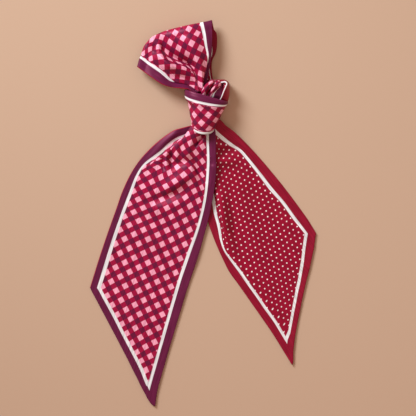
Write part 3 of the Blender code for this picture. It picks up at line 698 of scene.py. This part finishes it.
# Rails fan out from the knot, at 0, to the crest of the loop's fold, at 1
loopShape = {
    "frontRows": 90,
    "roundRows": 16,
    "backRows": 60,
    "fineSteps": 400,      # places read along each rail
    "reach": 9.0,          # how far the fold's round goes in plan
    "foldLow": 5.6,        # and how high its lower side hangs over the table
    "foldWaver": 0.6,      # which goes up and down by this much
    "foldWaves": 9,        # in a wave of so many radians from side to side
    "leastRound": 2.5,     # the round is at least this high
    "lowerOut": 1.8,       # how far its lower side comes out at the right edge
    "lowerOutNear": 6,     # more keeps that closer to the edge
    "backPull": 0.22,      # over what share of its length the leaf below follows the fold
    "zones": [             # rails that belong together, and how many columns lie between them
        (("edge", "stripeOuter", "stripeInner"), 14),
        (("stripeInner", "lowerEdge"), 5),
        (("lowerEdge", "lowerMiddle", "lowerLip"), 44),
        (("lowerLip", "upperLip"), 6),
        (("upperLip", "upperLeft", "upperRight", "rightInner"), 70),
        (("rightInner", "rightOuter", "rightEdge"), 14),
    ],
    "rails": {
        "edge": [
            (0, -9, 116, 13.5), (0.12, -14, 122.6, 15), (0.25, -21, 124, 15.6), (0.45, -31, 125, 14.4),
            (0.65, -41.4, 128.4, 15.4), (0.82, -52, 135.6, 13.2), (1, -65.6, 145.8, 5.6),
        ],
        "stripeOuter": [
            (0, -6, 120, 11), (0.12, -12.4, 127.8, 8.8), (0.25, -20.6, 130.4, 9.2),
            (0.36, -27.2, 130.2, 10.2), (0.45, -32, 131, 11.8), (0.65, -43, 139.6, 12.8),
            (0.82, -53.6, 147, 10.6), (1, -63, 154.4, 4.8),
        ],
        "stripeInner": [
            (0, -5, 121, 8.6), (0.12, -11, 129.2, 6.8), (0.25, -19.5, 132.2, 7.2),
            (0.36, -26.2, 131.8, 8.4), (0.45, -31, 133.3, 10.4), (0.65, -41.4, 142.6, 12.6),
            (0.82, -51.9, 149.6, 10.8), (1, -61.8, 157, 4.8),
        ],
        "lowerEdge": [
            (0, -5, 121.2, 10.4), (0.12, -12.2, 126.4, 11), (0.25, -20.6, 129.2, 11.6),
            (0.36, -27.2, 130.4, 11.6), (0.45, -31.2, 133.5, 11), (0.65, -41.2, 143.3, 12.8),
            (0.82, -51.7, 150.2, 11), (1, -61.5, 157.5, 5),
        ],
        "lowerMiddle": [
            (0, -5.6, 120.2, 11.5), (0.12, -9.8, 128.8, 11.2), (0.25, -15.4, 135.6, 13.2),
            (0.45, -26, 142.4, 16.4), (0.65, -37, 149.8, 20), (0.82, -47.6, 157.6, 13),
            (1, -58.8, 166, 6.4),
        ],
        "lowerLip": [
            (0, -4.4, 120.8, 12.6), (0.12, -6.8, 130, 10.4), (0.25, -10.2, 139, 10.8),
            (0.4, -18.2, 144.8, 12.2), (0.55, -27.6, 147.6, 14.4), (0.7, -39, 154.6, 15.4),
            (0.82, -45, 164.2, 12.4), (1, -52.6, 173.8, 9.2),
        ],
        "upperLip": [
            (0, -3.6, 121.2, 9), (0.12, -5.6, 130.4, 8), (0.25, -8, 141.8, 7.6), (0.4, -16, 149.8, 7.4),
            (0.55, -26, 153.4, 7.8), (0.7, -36, 158.8, 8.2), (0.82, -42.2, 167, 9.4),
            (1, -49.6, 176.2, 8.8),
        ],
        "upperLeft": [
            (0, -2.6, 121, 11), (0.12, -3.6, 130, 10.4), (0.25, -5.2, 141.6, 11.6),
            (0.4, -11.6, 151.6, 12.8), (0.55, -20.6, 158.2, 14.8), (0.7, -28, 165.6, 15.6),
            (0.82, -32.6, 173, 15.4), (1, -37.6, 181.4, 9.8),
        ],
        "upperRight": [
            (0, -1, 120.4, 14), (0.12, -1, 129.6, 15), (0.25, -1.8, 141.2, 17.4), (0.4, -4.4, 152, 19.6),
            (0.55, -9.4, 163, 21.4), (0.7, -13.2, 172, 20.6), (0.82, -15, 179, 17.8), (1, -17, 186.6, 11),
        ],
        "rightInner": [
            (0, 1.4, 118.6, 13.4), (0.12, 0.2, 125, 12.6), (0.25, 1, 134, 13), (0.4, 3.6, 145.6, 14),
            (0.55, 4.2, 155.4, 15.6), (0.7, 1.6, 167, 16), (0.82, -0.4, 177, 15.6), (1, -3.4, 189.4, 10.6),
        ],
        "rightOuter": [
            (0, 0.4, 118.2, 9.6), (0.12, -1.2, 125, 9), (0.25, -0.4, 134, 9.6), (0.4, 3.2, 145.6, 11.4),
            (0.55, 5.8, 155.4, 14.8), (0.7, 4.4, 166, 15.4), (0.82, 3, 177, 15), (1, 0.3, 190.1, 10.2),
        ],
        "rightEdge": [
            (0, 4.6, 117.6, 11), (0.12, 3.2, 125, 9.6), (0.25, 4.6, 134, 10.2), (0.4, 6.9, 146.6, 11.6),
            (0.55, 8, 156.4, 13.2), (0.7, 9, 167, 14), (0.82, 9.2, 178, 13.6), (1, 9, 192.2, 9.2),
        ],
    },
    "tAtRails": {
        "edge": -0.2, "stripeOuter": 9.0, "stripeInner": 12.5, "rightInner": 84.5, "rightOuter": 88.0,
        "rightEdge": 96.6,
    },
    "tAtLowerEdge": 12.6,  # where the pinned print of the lower part meets the stripe
    # the leaf below, from the knot at 0 to under the crest at 1, along its two edges
    "backLeft": [
        (0, -6, 117, 4.5), (0.2, -14, 124, 3.2), (0.5, -32, 135, 1.2), (0.8, -50, 146, 2.4),
        (1, -59, 152, 5.4),
    ],
    "backRight": [
        (0, 8, 116, 5.5), (0.15, 10.5, 127, 4.6), (0.3, 8.8, 142, 4.0), (0.45, 9.2, 152, 3.6),
        (0.6, 12.6, 160, 3.2), (0.75, 13.6, 169, 4.2), (0.9, 12.2, 182, 6.4), (1, 9.4, 186, 7.4),
    ],
    "folds": [
        ([(-50.5, 175, 0), (-50.4, 169, -3.2), (-48.6, 164, -3.0), (-46, 160.5, 0)], 2.2, 1.7, 1.6),
        ([(-47, 180, 0), (-45, 173, 1.8), (-43.6, 166, 1.6), (-42, 160, 0)], 2.4, 2.4, 2),
        ([(-53.5, 172, 0), (-54, 166, 1.4), (-53, 160, 0)], 2.4, 2.4, 2),
        ([
            (-41, 178, 0), (-39.6, 171, -2.2), (-37, 163, -2.4), (-31, 157, -1.4), (-24, 153, 0),
        ], 2.8, 3.6, 2),
        ([(-24, 160, 0), (-17, 153, -1.4), (-10, 147, -1.6), (-6, 138, -1.2), (-4, 130, 0)], 2.6, 2.6, 2),
        ([(-14, 149, 0), (-9, 143, 1.4), (-5, 136, 1.2), (-3.6, 130, 0)], 1.6, 1.6, 2),
        ([(-30, 136, 0), (-20, 135, -1.8), (-12, 130, -1.6), (-8, 126, 0)], 2.6, 2.6, 2),
        ([(-40, 147, 0), (-30, 145, 1.6), (-20, 143, 1.4), (-12, 138, 0)], 3.4, 3.0, 2),
        ([(-48, 138, 0), (-34, 128.5, 1.4), (-22, 126, 0)], 2.2, 2.2, 2),
        ([(2.4, 182, 0), (5.6, 170, 0.8), (6.6, 158, 0.8), (5.4, 146, 0)], 2.2, 2.2, 2),
        ([(-52, 152, 0), (-44, 156, 1.2), (-37, 153, 0)], 3, 3, 2),
    ],
    # where rose squares show on the upper and the lower part: x, y, m and n
    "roseUpper": [
        (-11.3, 168.6, 0, 0), (-20, 173.9, -1, 0), (-27.4, 179.2, -2, 0), (-2.4, 163.6, 1, 0),
        (-14, 182.9, -1, 1), (-5.8, 178.6, 0, 1), (-15.8, 158.2, 0, -1), (-24.2, 164.2, -1, -1),
        (-32.6, 169.7, -2, -1), (-41.1, 175.5, -3, -1), (-6.8, 153.4, 1, -1), (1.9, 148.4, 2, -1),
        (-18.6, 150.3, 0, -2), (-27.6, 155, -1, -2), (-36.3, 160.8, -2, -2), (-44.2, 165.5, -3, -2),
        (-11, 144.2, 1, -2), (-2.1, 138.6, 2, -2), (-2.1, 127.7, 2, -3), (-49.2, 176, -4, -1),
    ],
    "roseLower": [
        (-42.1, 155.5, -3, -3), (-52.1, 153.9, -4, -3), (-40.9, 145, -3, -4), (-29.7, 145.5, -2, -4),
        (-18.9, 144.7, -1, -4), (-9.2, 141, 0, -4), (-30.6, 136.2, -2, -5), (-20.6, 135.3, -1, -5),
        (-10.1, 133.6, 0, -5), (-52.9, 163.4, -4, -2), (-44.2, 165.5, -3, -2), (-59.5, 158.7, -5, -2),
        (-41.1, 175.5, -3, -1), (-51, 172.5, -4, -1),
    ],
    "sAtFirst": 560.0,     # about where the first of them lies on the strip
    "tSteps": 5,           # and how many steps across from the print's own first
}


def layLoop(look):
    rails, frontRows, halfRound = look["rails"], look["frontRows"], look["roundRows"] // 2
    # s at the middle of a rose square, near the asked place, where the gingham keeps its step
    roseS, roseT = checkPrint["onRose"]
    sFirst = roseS + 2 * roseStep * round((look["sAtFirst"] - roseS) / roseStep / 2) + roseStep
    tFirst = roseT + look["tSteps"] * roseStep
    upperPrint = printMap(rosePins(look["roseUpper"], sFirst, tFirst))
    lowerPrint = printMap(rosePins(look["roseLower"], sFirst, tFirst))
    shares = np.linspace(0, 1, look["fineSteps"])
    turn = np.linspace(0, math.pi, look["roundRows"] + 1)[1:, None]
    backShares = np.linspace(1, 0, look["backRows"] + 1)[1:]
    backLeft, backRight = readRail(look["backLeft"], backShares), readRail(look["backRight"], backShares)
    underLeft, underRight = readRail(look["backLeft"], [1])[0], readRail(look["backRight"], [1])[0]
    pull = np.exp(-(((1 - backShares[:, None]) / look["backPull"]) ** 2))
    columns, prints, total = [], [], sum(count for _, count in look["zones"])
    for number, (names, count) in enumerate(look["zones"]):
        for k in range(count + (number == len(look["zones"]) - 1)):
            u, across = k / count, len(columns) / total
            keys = np.linspace(0, 1, len(names))
            if "edge" in names or "rightEdge" in names:
                ts = np.array([look["tAtRails"][n] for n in names])
                keys = (ts - ts[0]) / (ts[-1] - ts[0])
            line = smoothThrough(keys, np.stack([readRail(rails[n], shares) for n in names]), [u])[0]
            # the round starts where the plan distance left is the reach
            left = np.append(np.cumsum(np.linalg.norm(np.diff(line[:, :2], axis=0), axis=1)[::-1])[::-1], 0)
            frontShares = np.linspace(0, np.interp(-look["reach"], -left, shares), frontRows)
            front = np.stack([np.interp(frontShares, shares, line[:, i]) for i in range(3)], axis=1)
            crest, centre, top = line[-1, :2], front[-1, :2], front[-1, 2]
            waver = look["foldWaver"] * math.sin(look["foldWaves"] * len(columns) / total)
            low = min(look["foldLow"] + waver, top - look["leastRound"])
            roundOver = np.column_stack([
                centre + (crest - centre) * np.sin(turn),
                (top + low) / 2 + (top - low) / 2 * np.cos(turn),
            ])
            comesOut = np.where(turn[:, 0] > math.pi / 2, 1 - np.sin(turn[:, 0]), 0)
            roundOver[:, 0] += look["lowerOut"] * across ** look["lowerOutNear"] * comesOut
            back = backLeft + (backRight - backLeft) * across
            back = back + (roundOver[-1] - (underLeft * (1 - across) + underRight * across)) * pull
            whole = np.vstack([front, roundOver, back])
            # the print: pinned where it shows, then carried on by length
            seen = whole[:frontRows + halfRound]
            if "lowerEdge" in names:
                here = lowerPrint(seen[:, :2])
                if names[0] == "stripeInner":
                    here[:, 1] = look["tAtLowerEdge"] + (here[:, 1] - look["tAtLowerEdge"]) * u
            elif names[0] == "upperLip":
                here = upperPrint(seen[:, :2])
            elif names[0] == "lowerLip":
                here = lowerPrint(seen[:, :2]) * (1 - u) + upperPrint(seen[:, :2]) * u
            else:
                reader = lowerPrint if "edge" in names else upperPrint
                tNow = np.interp(u, keys, ts)
                here = np.column_stack([reader(seen[:, :2])[:, 0], np.full(len(seen), tNow)])
            steps = np.linalg.norm(np.diff(whole[len(seen) - 1:], axis=0), axis=1)
            rest = np.column_stack([here[-1, 0] + np.cumsum(steps), np.full(len(steps), here[-1, 1])])
            columns.append(whole)
            prints.append(np.vstack([here, rest]))
    grid, prints = np.stack(columns, axis=1), np.stack(prints, axis=1)
    lift = foldLift(look["folds"], grid[:frontRows, :, :2].reshape(-1, 2)).reshape(frontRows, -1)
    grid[:frontRows, :, 2] += lift
    for i in range(halfRound):
        # the folds die away over the crest
        grid[frontRows + i, :, 2] += lift[-1] * (1 - (i + 1) / halfRound)
    grid[..., 2] = np.maximum(grid[..., 2], strip["lowest"])
    return sewCloth("loopCloth", grid, prints)


loopCloth = layLoop(loopShape)
print("loop laid", len(loopCloth.data.polygons))

# Rings from inside the upper mouth, over the collar and down the body to inside the lower mouth
wrapShape = {
    "rows": 110,
    "columns": 150,
    # down, left x, y, right x, y, how far the front sags, height, t of the strip
    "rings": [
        (0.00, -15.5, 119.5, 22.6, 110.2, 0.0, 19.6, 3.0),
        (0.05, -17.4, 121.8, 24.0, 110.8, 0.2, 22.2, 0.6),
        (0.09, -17.9, 122.8, 24.6, 110.6, 0.4, 23.6, 1.0),
        (0.20, -18.2, 120.6, 24.8, 110.0, 2.0, 25.0, 5.0),
        (0.32, -18.0, 117.8, 24.3, 109.2, 4.0, 25.2, 9.0),
        (0.375, -17.8, 116.2, 23.7, 108.5, 5.3, 25.0, 12.4),
        (0.40, -17.4, 115.4, 23.2, 108.0, 6.0, 24.8, 14),
        (0.45, -15.6, 112.6, 22.2, 106.2, 6.4, 23.4, 16.0),
        (0.55, -14.0, 106.0, 19.4, 101.6, 6.4, 22.8, 22.0),
        (0.70, -12.8, 98.4, 16.8, 95.6, 6.6, 21.8, 30.0),
        (0.84, -11.6, 92.0, 13.8, 90.8, 6.8, 20.2, 38.0),
        (0.92, -11.0, 88.6, 12.0, 86.8, 6.9, 19.2, 84.4),
        (0.96, -10.6, 86.2, 10.6, 84.0, 6.7, 18.2, 88.0),
        (1.00, -9.8, 87.4, 9.6, 85.2, 5.6, 15.6, 93.0),
    ],
    "widest": 0.42,              # where a ring is widest, as a share of its height
    "fullness": 0.85,            # 1 is an ellipse across, and less has fuller shoulders
    "underside": 1.8,            # how soon a ring's lower half lies flat on the table
    "body": (0.385, 0.90),       # between these the gingham shows, and outside them the borders
    "turn": math.radians(11),    # how far the gingham is turned on the body
    "roseAt": (-2.4, 104.7),     # where the middle of one rose square shows
    "roseOver": 12.0,            # and how high the cloth has to be there, so that it is on top
    "roseSteps": (40, 2),        # how many steps that square is along and across the strip
    "sAtBand": 400.0,            # s on the borders, above the top line
    "folds": [
        ([(-12, 112, 0), (-11, 104, -1.8), (-9.6, 96, -1.6), (-8, 88, 0)], 2.4, 2.6, 2),
        ([(-6, 108, 0), (-4.6, 100, 1.0), (-3, 92, 0)], 2.4, 2.4, 2),
        ([(14, 108, 0), (10, 98, 0.6), (6, 88, 0)], 3.0, 3.0, 2),
        ([(-10, 96, 0), (-4, 90, 0.8), (4, 86, 0)], 2.6, 2.6, 2),
    ],
}


def layWrap(look):
    rings = np.array(look["rings"], float)
    downs = np.linspace(0, 1, look["rows"] + 1)
    values = smoothThrough(rings[:, 0], rings[:, 1:7], downs)
    ts = np.interp(downs, rings[:, 0], rings[:, 7])
    angles = np.linspace(0, 2 * math.pi, look["columns"], endpoint=False)
    height, side = np.sin(angles), np.cos(angles)
    height = np.sign(height) * np.abs(height) ** look["fullness"]
    grid = np.zeros((len(downs), len(angles), 3))
    for i, (leftX, leftY, rightX, rightY, sag, crest) in enumerate(values):
        left, right = np.array([leftX, leftY]), np.array([rightX, rightY])
        middle, half = (left + right) / 2, (right - left) / 2
        sags = np.column_stack([np.zeros(len(angles)), sag * np.clip(height, 0, 1)])
        grid[i, :, :2] = middle + half * side[:, None] - sags
        widest = crest * look["widest"]
        above = widest + (crest - widest) * height
        below = widest - (widest - strip["lowest"]) * np.minimum(1, -height * look["underside"])
        grid[i, :, 2] = np.where(height > 0, above, below)
    # lengths round each ring from its top, and down the top line
    top = look["columns"] // 4
    steps = np.linalg.norm(np.diff(grid, axis=1), axis=2)
    roundLength = np.concatenate([np.zeros((len(downs), 1)), np.cumsum(steps, axis=1)], axis=1)
    roundLength -= roundLength[:, top:top + 1]
    downLength = np.append(0, np.cumsum(np.linalg.norm(np.diff(grid[:, top], axis=0), axis=1)))
    u, w = -roundLength, downLength[:, None] + np.zeros_like(roundLength)
    cosTurn, sinTurn = math.cos(look["turn"]), math.sin(look["turn"])
    fromRose = ((grid[:, :, :2] - np.array(look["roseAt"])) ** 2).sum(2)
    fromRose[grid[..., 2] < look["roseOver"]] = np.inf
    i0, j0 = np.unravel_index(fromRose.argmin(), fromRose.shape)
    bodyS = (u - u[i0, j0]) * cosTurn - (w - w[i0, j0]) * sinTurn
    bodyT = (u - u[i0, j0]) * sinTurn + (w - w[i0, j0]) * cosTurn
    sRose, tRose = (place + count * roseStep for place, count in zip(checkPrint["onRose"], look["roseSteps"]))
    body = np.stack([bodyS + sRose, bodyT + tRose], axis=2)
    band = np.stack([u + look["sAtBand"], np.repeat(ts[:, None], len(angles), axis=1)], axis=2)
    bodyFrom, bodyTo = look["body"]
    prints = np.where(((downs > bodyFrom) & (downs < bodyTo))[:, None, None], body, band)
    lift = foldLift(look["folds"], grid[..., :2].reshape(-1, 2)).reshape(len(downs), -1)
    grid[..., 2] += lift * (np.sin(angles)[None] > 0)
    return sewCloth("knotWrapCloth", grid, prints, closedRound=True)


knotWrapCloth = layWrap(wrapShape)
print("wrap laid", len(knotWrapCloth.data.polygons))

# The tuck comes up between the loop and the wrap in two pleats, and goes down behind. The turn is
# the edge beside it, rolled over so that the dotted side shows. Rails run from the mouth of the
# wrap up and over, by x, y in the photo's own places and z
tuckShape = {
    "steps": (70, 84),    # down each rail, and across them all
    "rails": [            # t, then the rail
        (44.0, [
            (197.4, 101.0, 9.5), (200.6, 95.5, 13), (201.4, 93, 16.4), (203.0, 89.3, 18.2),
            (206.0, 84.8, 18.6), (208.9, 82.2, 17), (211, 80.6, 12.6), (212.6, 80.2, 7), (214, 81, 3),
        ]),
        (50.0, [
            (200.4, 101.3, 14.1), (203.6, 95.8, 17.6), (204.8, 92.5, 20.2), (206.8, 88.5, 21.6),
            (209.7, 84.4, 21.4), (211.8, 82.0, 18.6), (213.2, 80.6, 13.4), (214.6, 80, 7), (215.6, 81, 3),
        ]),
        (55.0, [
            (203.0, 101.5, 11.1), (206.2, 96, 14.6), (207.5, 92.5, 16.4), (209.4, 88.8, 17.6),
            (212.2, 85.2, 18.6), (214.0, 82.6, 17.2), (214.8, 81, 12.8), (216, 80.2, 7), (217, 81, 3),
        ]),
        (63.0, [
            (204.1, 101.5, 9.1), (207.3, 96, 12.6), (208.5, 92.8, 12.6), (210.2, 89.6, 13.2),
            (212.8, 86.4, 15), (214.6, 83.4, 15.6), (215.4, 81.4, 12.4), (216.4, 80.3, 7), (217.2, 81, 3),
        ]),
        (71.0, [
            (206.0, 101.5, 13.3), (209.2, 96, 16.8), (210.6, 92.7, 19.4), (212.8, 89.2, 20.8),
            (215.9, 85.4, 21), (218, 82.9, 18.6), (218.4, 81.4, 13), (218.6, 80.4, 7), (218.8, 81, 3),
        ]),
        (80.0, [
            (208.0, 101.7, 13.9), (211.2, 96.2, 18), (213.0, 93, 19.6), (215.4, 89.8, 20.4),
            (218.8, 86.3, 20.4), (220.5, 84.0, 17.6), (220.2, 82, 12), (220, 80.8, 7), (220, 81.4, 3),
        ]),
        (84.6, [
            (207.2, 101.9, 12.6), (210.2, 96.6, 16.9), (212.8, 94.2, 18.2), (215.9, 91.5, 18.7),
            (218.8, 88.3, 18), (220.9, 85.7, 15.9), (220.6, 82.6, 11), (220.4, 81.2, 6), (220.4, 81.6, 3),
        ]),
        (88.0, [
            (210.8, 102.3, 13), (214.0, 96.8, 17.4), (214.6, 94.4, 18.4), (216.2, 91.8, 18.6),
            (219.0, 88.6, 17.8), (221.0, 86, 15.6), (221.2, 83.4, 10.6), (220.8, 81.6, 6), (220.8, 81.8, 3),
        ]),
        (96.6, [
            (218.0, 102.9, 12.1), (221.2, 97.4, 16.2), (221.8, 94, 16.6), (222.4, 91, 16.2),
            (222.9, 88.6, 15), (222.8, 86.2, 12.4), (222, 83.6, 9.6), (221.6, 82, 6), (221.4, 82, 3),
        ]),
    ],
    "sStart": 300.0,      # s at the rails' start
}
turnShape = {
    "steps": (70, 48),
    "rails": [
        (78.0, [
            (215.0, 102.9, 7.0), (218.2, 97.4, 10.5), (220.4, 91.6, 12), (222.2, 88, 12.4), (223.2, 86, 12),
            (222.6, 85, 9.8), (220.6, 84.8, 7.6), (217, 84, 6),
        ]),
        (84.3, [
            (217.8, 103.2, 12.9), (221.0, 97.8, 16.4), (223.1, 92.2, 17.6), (225.2, 87.2, 18),
            (226.1, 84.5, 17.3), (224.4, 83.2, 15.7), (221.2, 83.6, 13.4), (217, 83.2, 10.6),
        ]),
        (88.0, [
            (218.6, 103.5, 13.5), (221.8, 98, 17), (223.9, 92.6, 18.2), (226.2, 87.4, 18.4),
            (227.2, 84, 17.4), (225.0, 82, 15.8), (221.6, 82.4, 13.4), (217, 82, 10.6),
        ]),
        (92.0, [
            (222.8, 105.5, 9.5), (226, 100, 13), (227.3, 94, 13.8), (228, 88, 13.8), (228, 83.4, 12.4),
            (225.4, 80.9, 11), (221.5, 80.6, 9.6), (216, 80.4, 8),
        ]),
        (94.3, [
            (224.6, 107, 4.4), (227.6, 101.6, 7.8), (229.1, 94, 8), (229.2, 88, 7.8), (228.6, 83.2, 7.0),
            (225.4, 80.4, 6.4), (221.5, 80, 5.8), (216, 80, 5),
        ]),
        (96.6, [
            (223.8, 107.6, 0.5), (226.6, 102.6, 2.4), (227.6, 94, 1.8), (227.6, 88, 1.6), (227, 83.2, 1.6),
            (224.8, 80.8, 1.6), (221.5, 80.4, 1.6), (216, 80.7, 1.6),
        ]),
    ],
    "sStart": 340.0,
}


def layByRails(name, look, flipped):
    down, across = look["steps"]
    rails = []
    for _, points in look["rails"]:
        points = np.array(points, float)
        points = np.column_stack([points[:, 0] - photoMiddle[0], photoMiddle[1] - points[:, 1], points[:, 2]])
        rails.append(smoothThrough(np.linspace(0, 1, len(points)), points, np.linspace(0, 1, down + 1)))
    places = np.linspace(0, len(rails) - 1, across + 1)
    grid = np.swapaxes(smoothThrough(np.arange(len(rails)), np.stack(rails), places), 0, 1)
    length = np.append(0, np.cumsum(np.linalg.norm(np.diff(grid[:, across // 2], axis=0), axis=1)))
    ts = np.interp(places, np.arange(len(rails)), [t for t, _ in look["rails"]])
    prints = np.stack(np.broadcast_arrays(look["sStart"] + length[:, None], ts[None]), axis=2)
    return sewCloth(name, grid, prints, flipped=flipped)


knotTuckCloth = layByRails("knotTuckCloth", tuckShape, flipped=False)
knotTurnCloth = layByRails("knotTurnCloth", turnShape, flipped=True)
print("tuck and turn laid")

# The layers hidden inside the knot keep their CAD solid, in the strip's own satin
coreObject = bpy.data.objects["knot_core"]
for slotNow in coreObject.material_slots:
    slotNow.material = coreSatin
if not coreObject.material_slots:
    coreObject.data.materials.append(coreSatin)

# each piece, the node that it replaces, its slot, its flat size in metres, how it is held, what it
# rests on, and its flat area in square metres where a cut end makes it less than the size's
stretches = [
    (tailCheckCloth, "tail_check", "check_satin", (0.097, 0.307), "laid", ["table", "tail_dot"], 0.0247),
    (tailDotCloth, "tail_dot", "dot_satin", (0.097, 0.264), "laid", ["table"], 0.0209),
    (loopCloth, "loop", "check_satin", (0.072, 0.165), "folded", ["table"], None),
    (knotWrapCloth, "knot_wrap", "check_satin", (0.052, 0.100), "folded", ["table"], None),
    (knotTuckCloth, "knot_tuck", "check_satin", (0.024, 0.032), "gathered", ["knot_core"], None),
    (knotTurnCloth, "knot_turn", "dot_satin", (0.022, 0.035), "folded", ["knot_core"], None),
]
for piece, node, slotName, flat, held, restsOn, area in stretches:
    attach(piece, "root")
    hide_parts(node)

studio = {
    "tableColour": "#d0ae95",
    "tableRoughness": 0.85,
    "tableSpecular": 0.2,
    "tableReach": 3.0,                  # metres to each side
    "lampPower": 6.1,                   # watts: one soft box, upper left
    "lampPlace": (-1.02, 1.26, 1.05),   # metres, as are its size and the other places here
    "lampSize": 0.85,
    "lampColour": "#ebf8ff",
    "lampSpread": math.radians(66),     # a grid on the box: the table gets darker towards the near corners
    "lampAim": (0.18, 0.07, 0.0),
    "fillColour": "#ffe2cf",
    "fillStrength": 0.52,
    "cameraHeight": 3.0,                # metres, straight above the middle of what the photo shows
    "cameraReach": 20.0,
    "sensor": 36.0,                     # millimetres
    "photoWidth": 0.416,
    "photoCentre": (0.005, 0.005),
}
table = bpy.data.meshes.new("table")
reach = studio["tableReach"]
corners = [(-reach, -reach, 0), (reach, -reach, 0), (reach, reach, 0), (-reach, reach, 0)]
table.from_pydata(corners, [], [(0, 1, 2, 3)])
tablePiece = bpy.data.objects.new("table", table)
bpy.context.scene.collection.objects.link(tablePiece)
tableTop = newMaterial("matt painted board, warm beige")    # flat paint: no highlight to speak of
tableShader = tableTop.node_tree.nodes["Principled BSDF"]
tableShader.inputs["Base Color"].default_value = srgbToLinear(studio["tableColour"])
tableShader.inputs["Roughness"].default_value = studio["tableRoughness"]
tableShader.inputs["Specular IOR Level"].default_value = studio["tableSpecular"]
table.materials.append(tableTop)

lamp = bpy.data.lights.new("soft box", "AREA")
lamp.shape, lamp.size, lamp.energy = "DISK", studio["lampSize"], studio["lampPower"]
lamp.color = srgbToLinear(studio["lampColour"])[:3]
lamp.spread = studio["lampSpread"]
lampPiece = bpy.data.objects.new("soft box", lamp)
lampPiece.location = studio["lampPlace"]
aim = Vector(studio["lampAim"]) - lampPiece.location
lampPiece.rotation_euler = aim.to_track_quat("-Z", "Y").to_euler()
bpy.context.scene.collection.objects.link(lampPiece)

world = bpy.data.worlds.new("studio")
world.use_nodes = True
fill = world.node_tree.nodes["Background"]
fill.inputs["Color"].default_value = srgbToLinear(studio["fillColour"])
fill.inputs["Strength"].default_value = studio["fillStrength"]
bpy.context.scene.world = world

lens = bpy.data.cameras.new("camera")
lens.sensor_width = studio["sensor"]
lens.lens = studio["sensor"] * studio["cameraHeight"] / studio["photoWidth"]
lens.clip_end = studio["cameraReach"]
cameraPiece = bpy.data.objects.new("camera", lens)
cameraPiece.location = (*studio["photoCentre"], studio["cameraHeight"])
bpy.context.scene.collection.objects.link(cameraPiece)
bpy.context.scene.camera = cameraPiece
bpy.context.scene.view_settings.view_transform = "Standard"
bpy.context.view_layer.update()
print("table, lamp and camera placed")
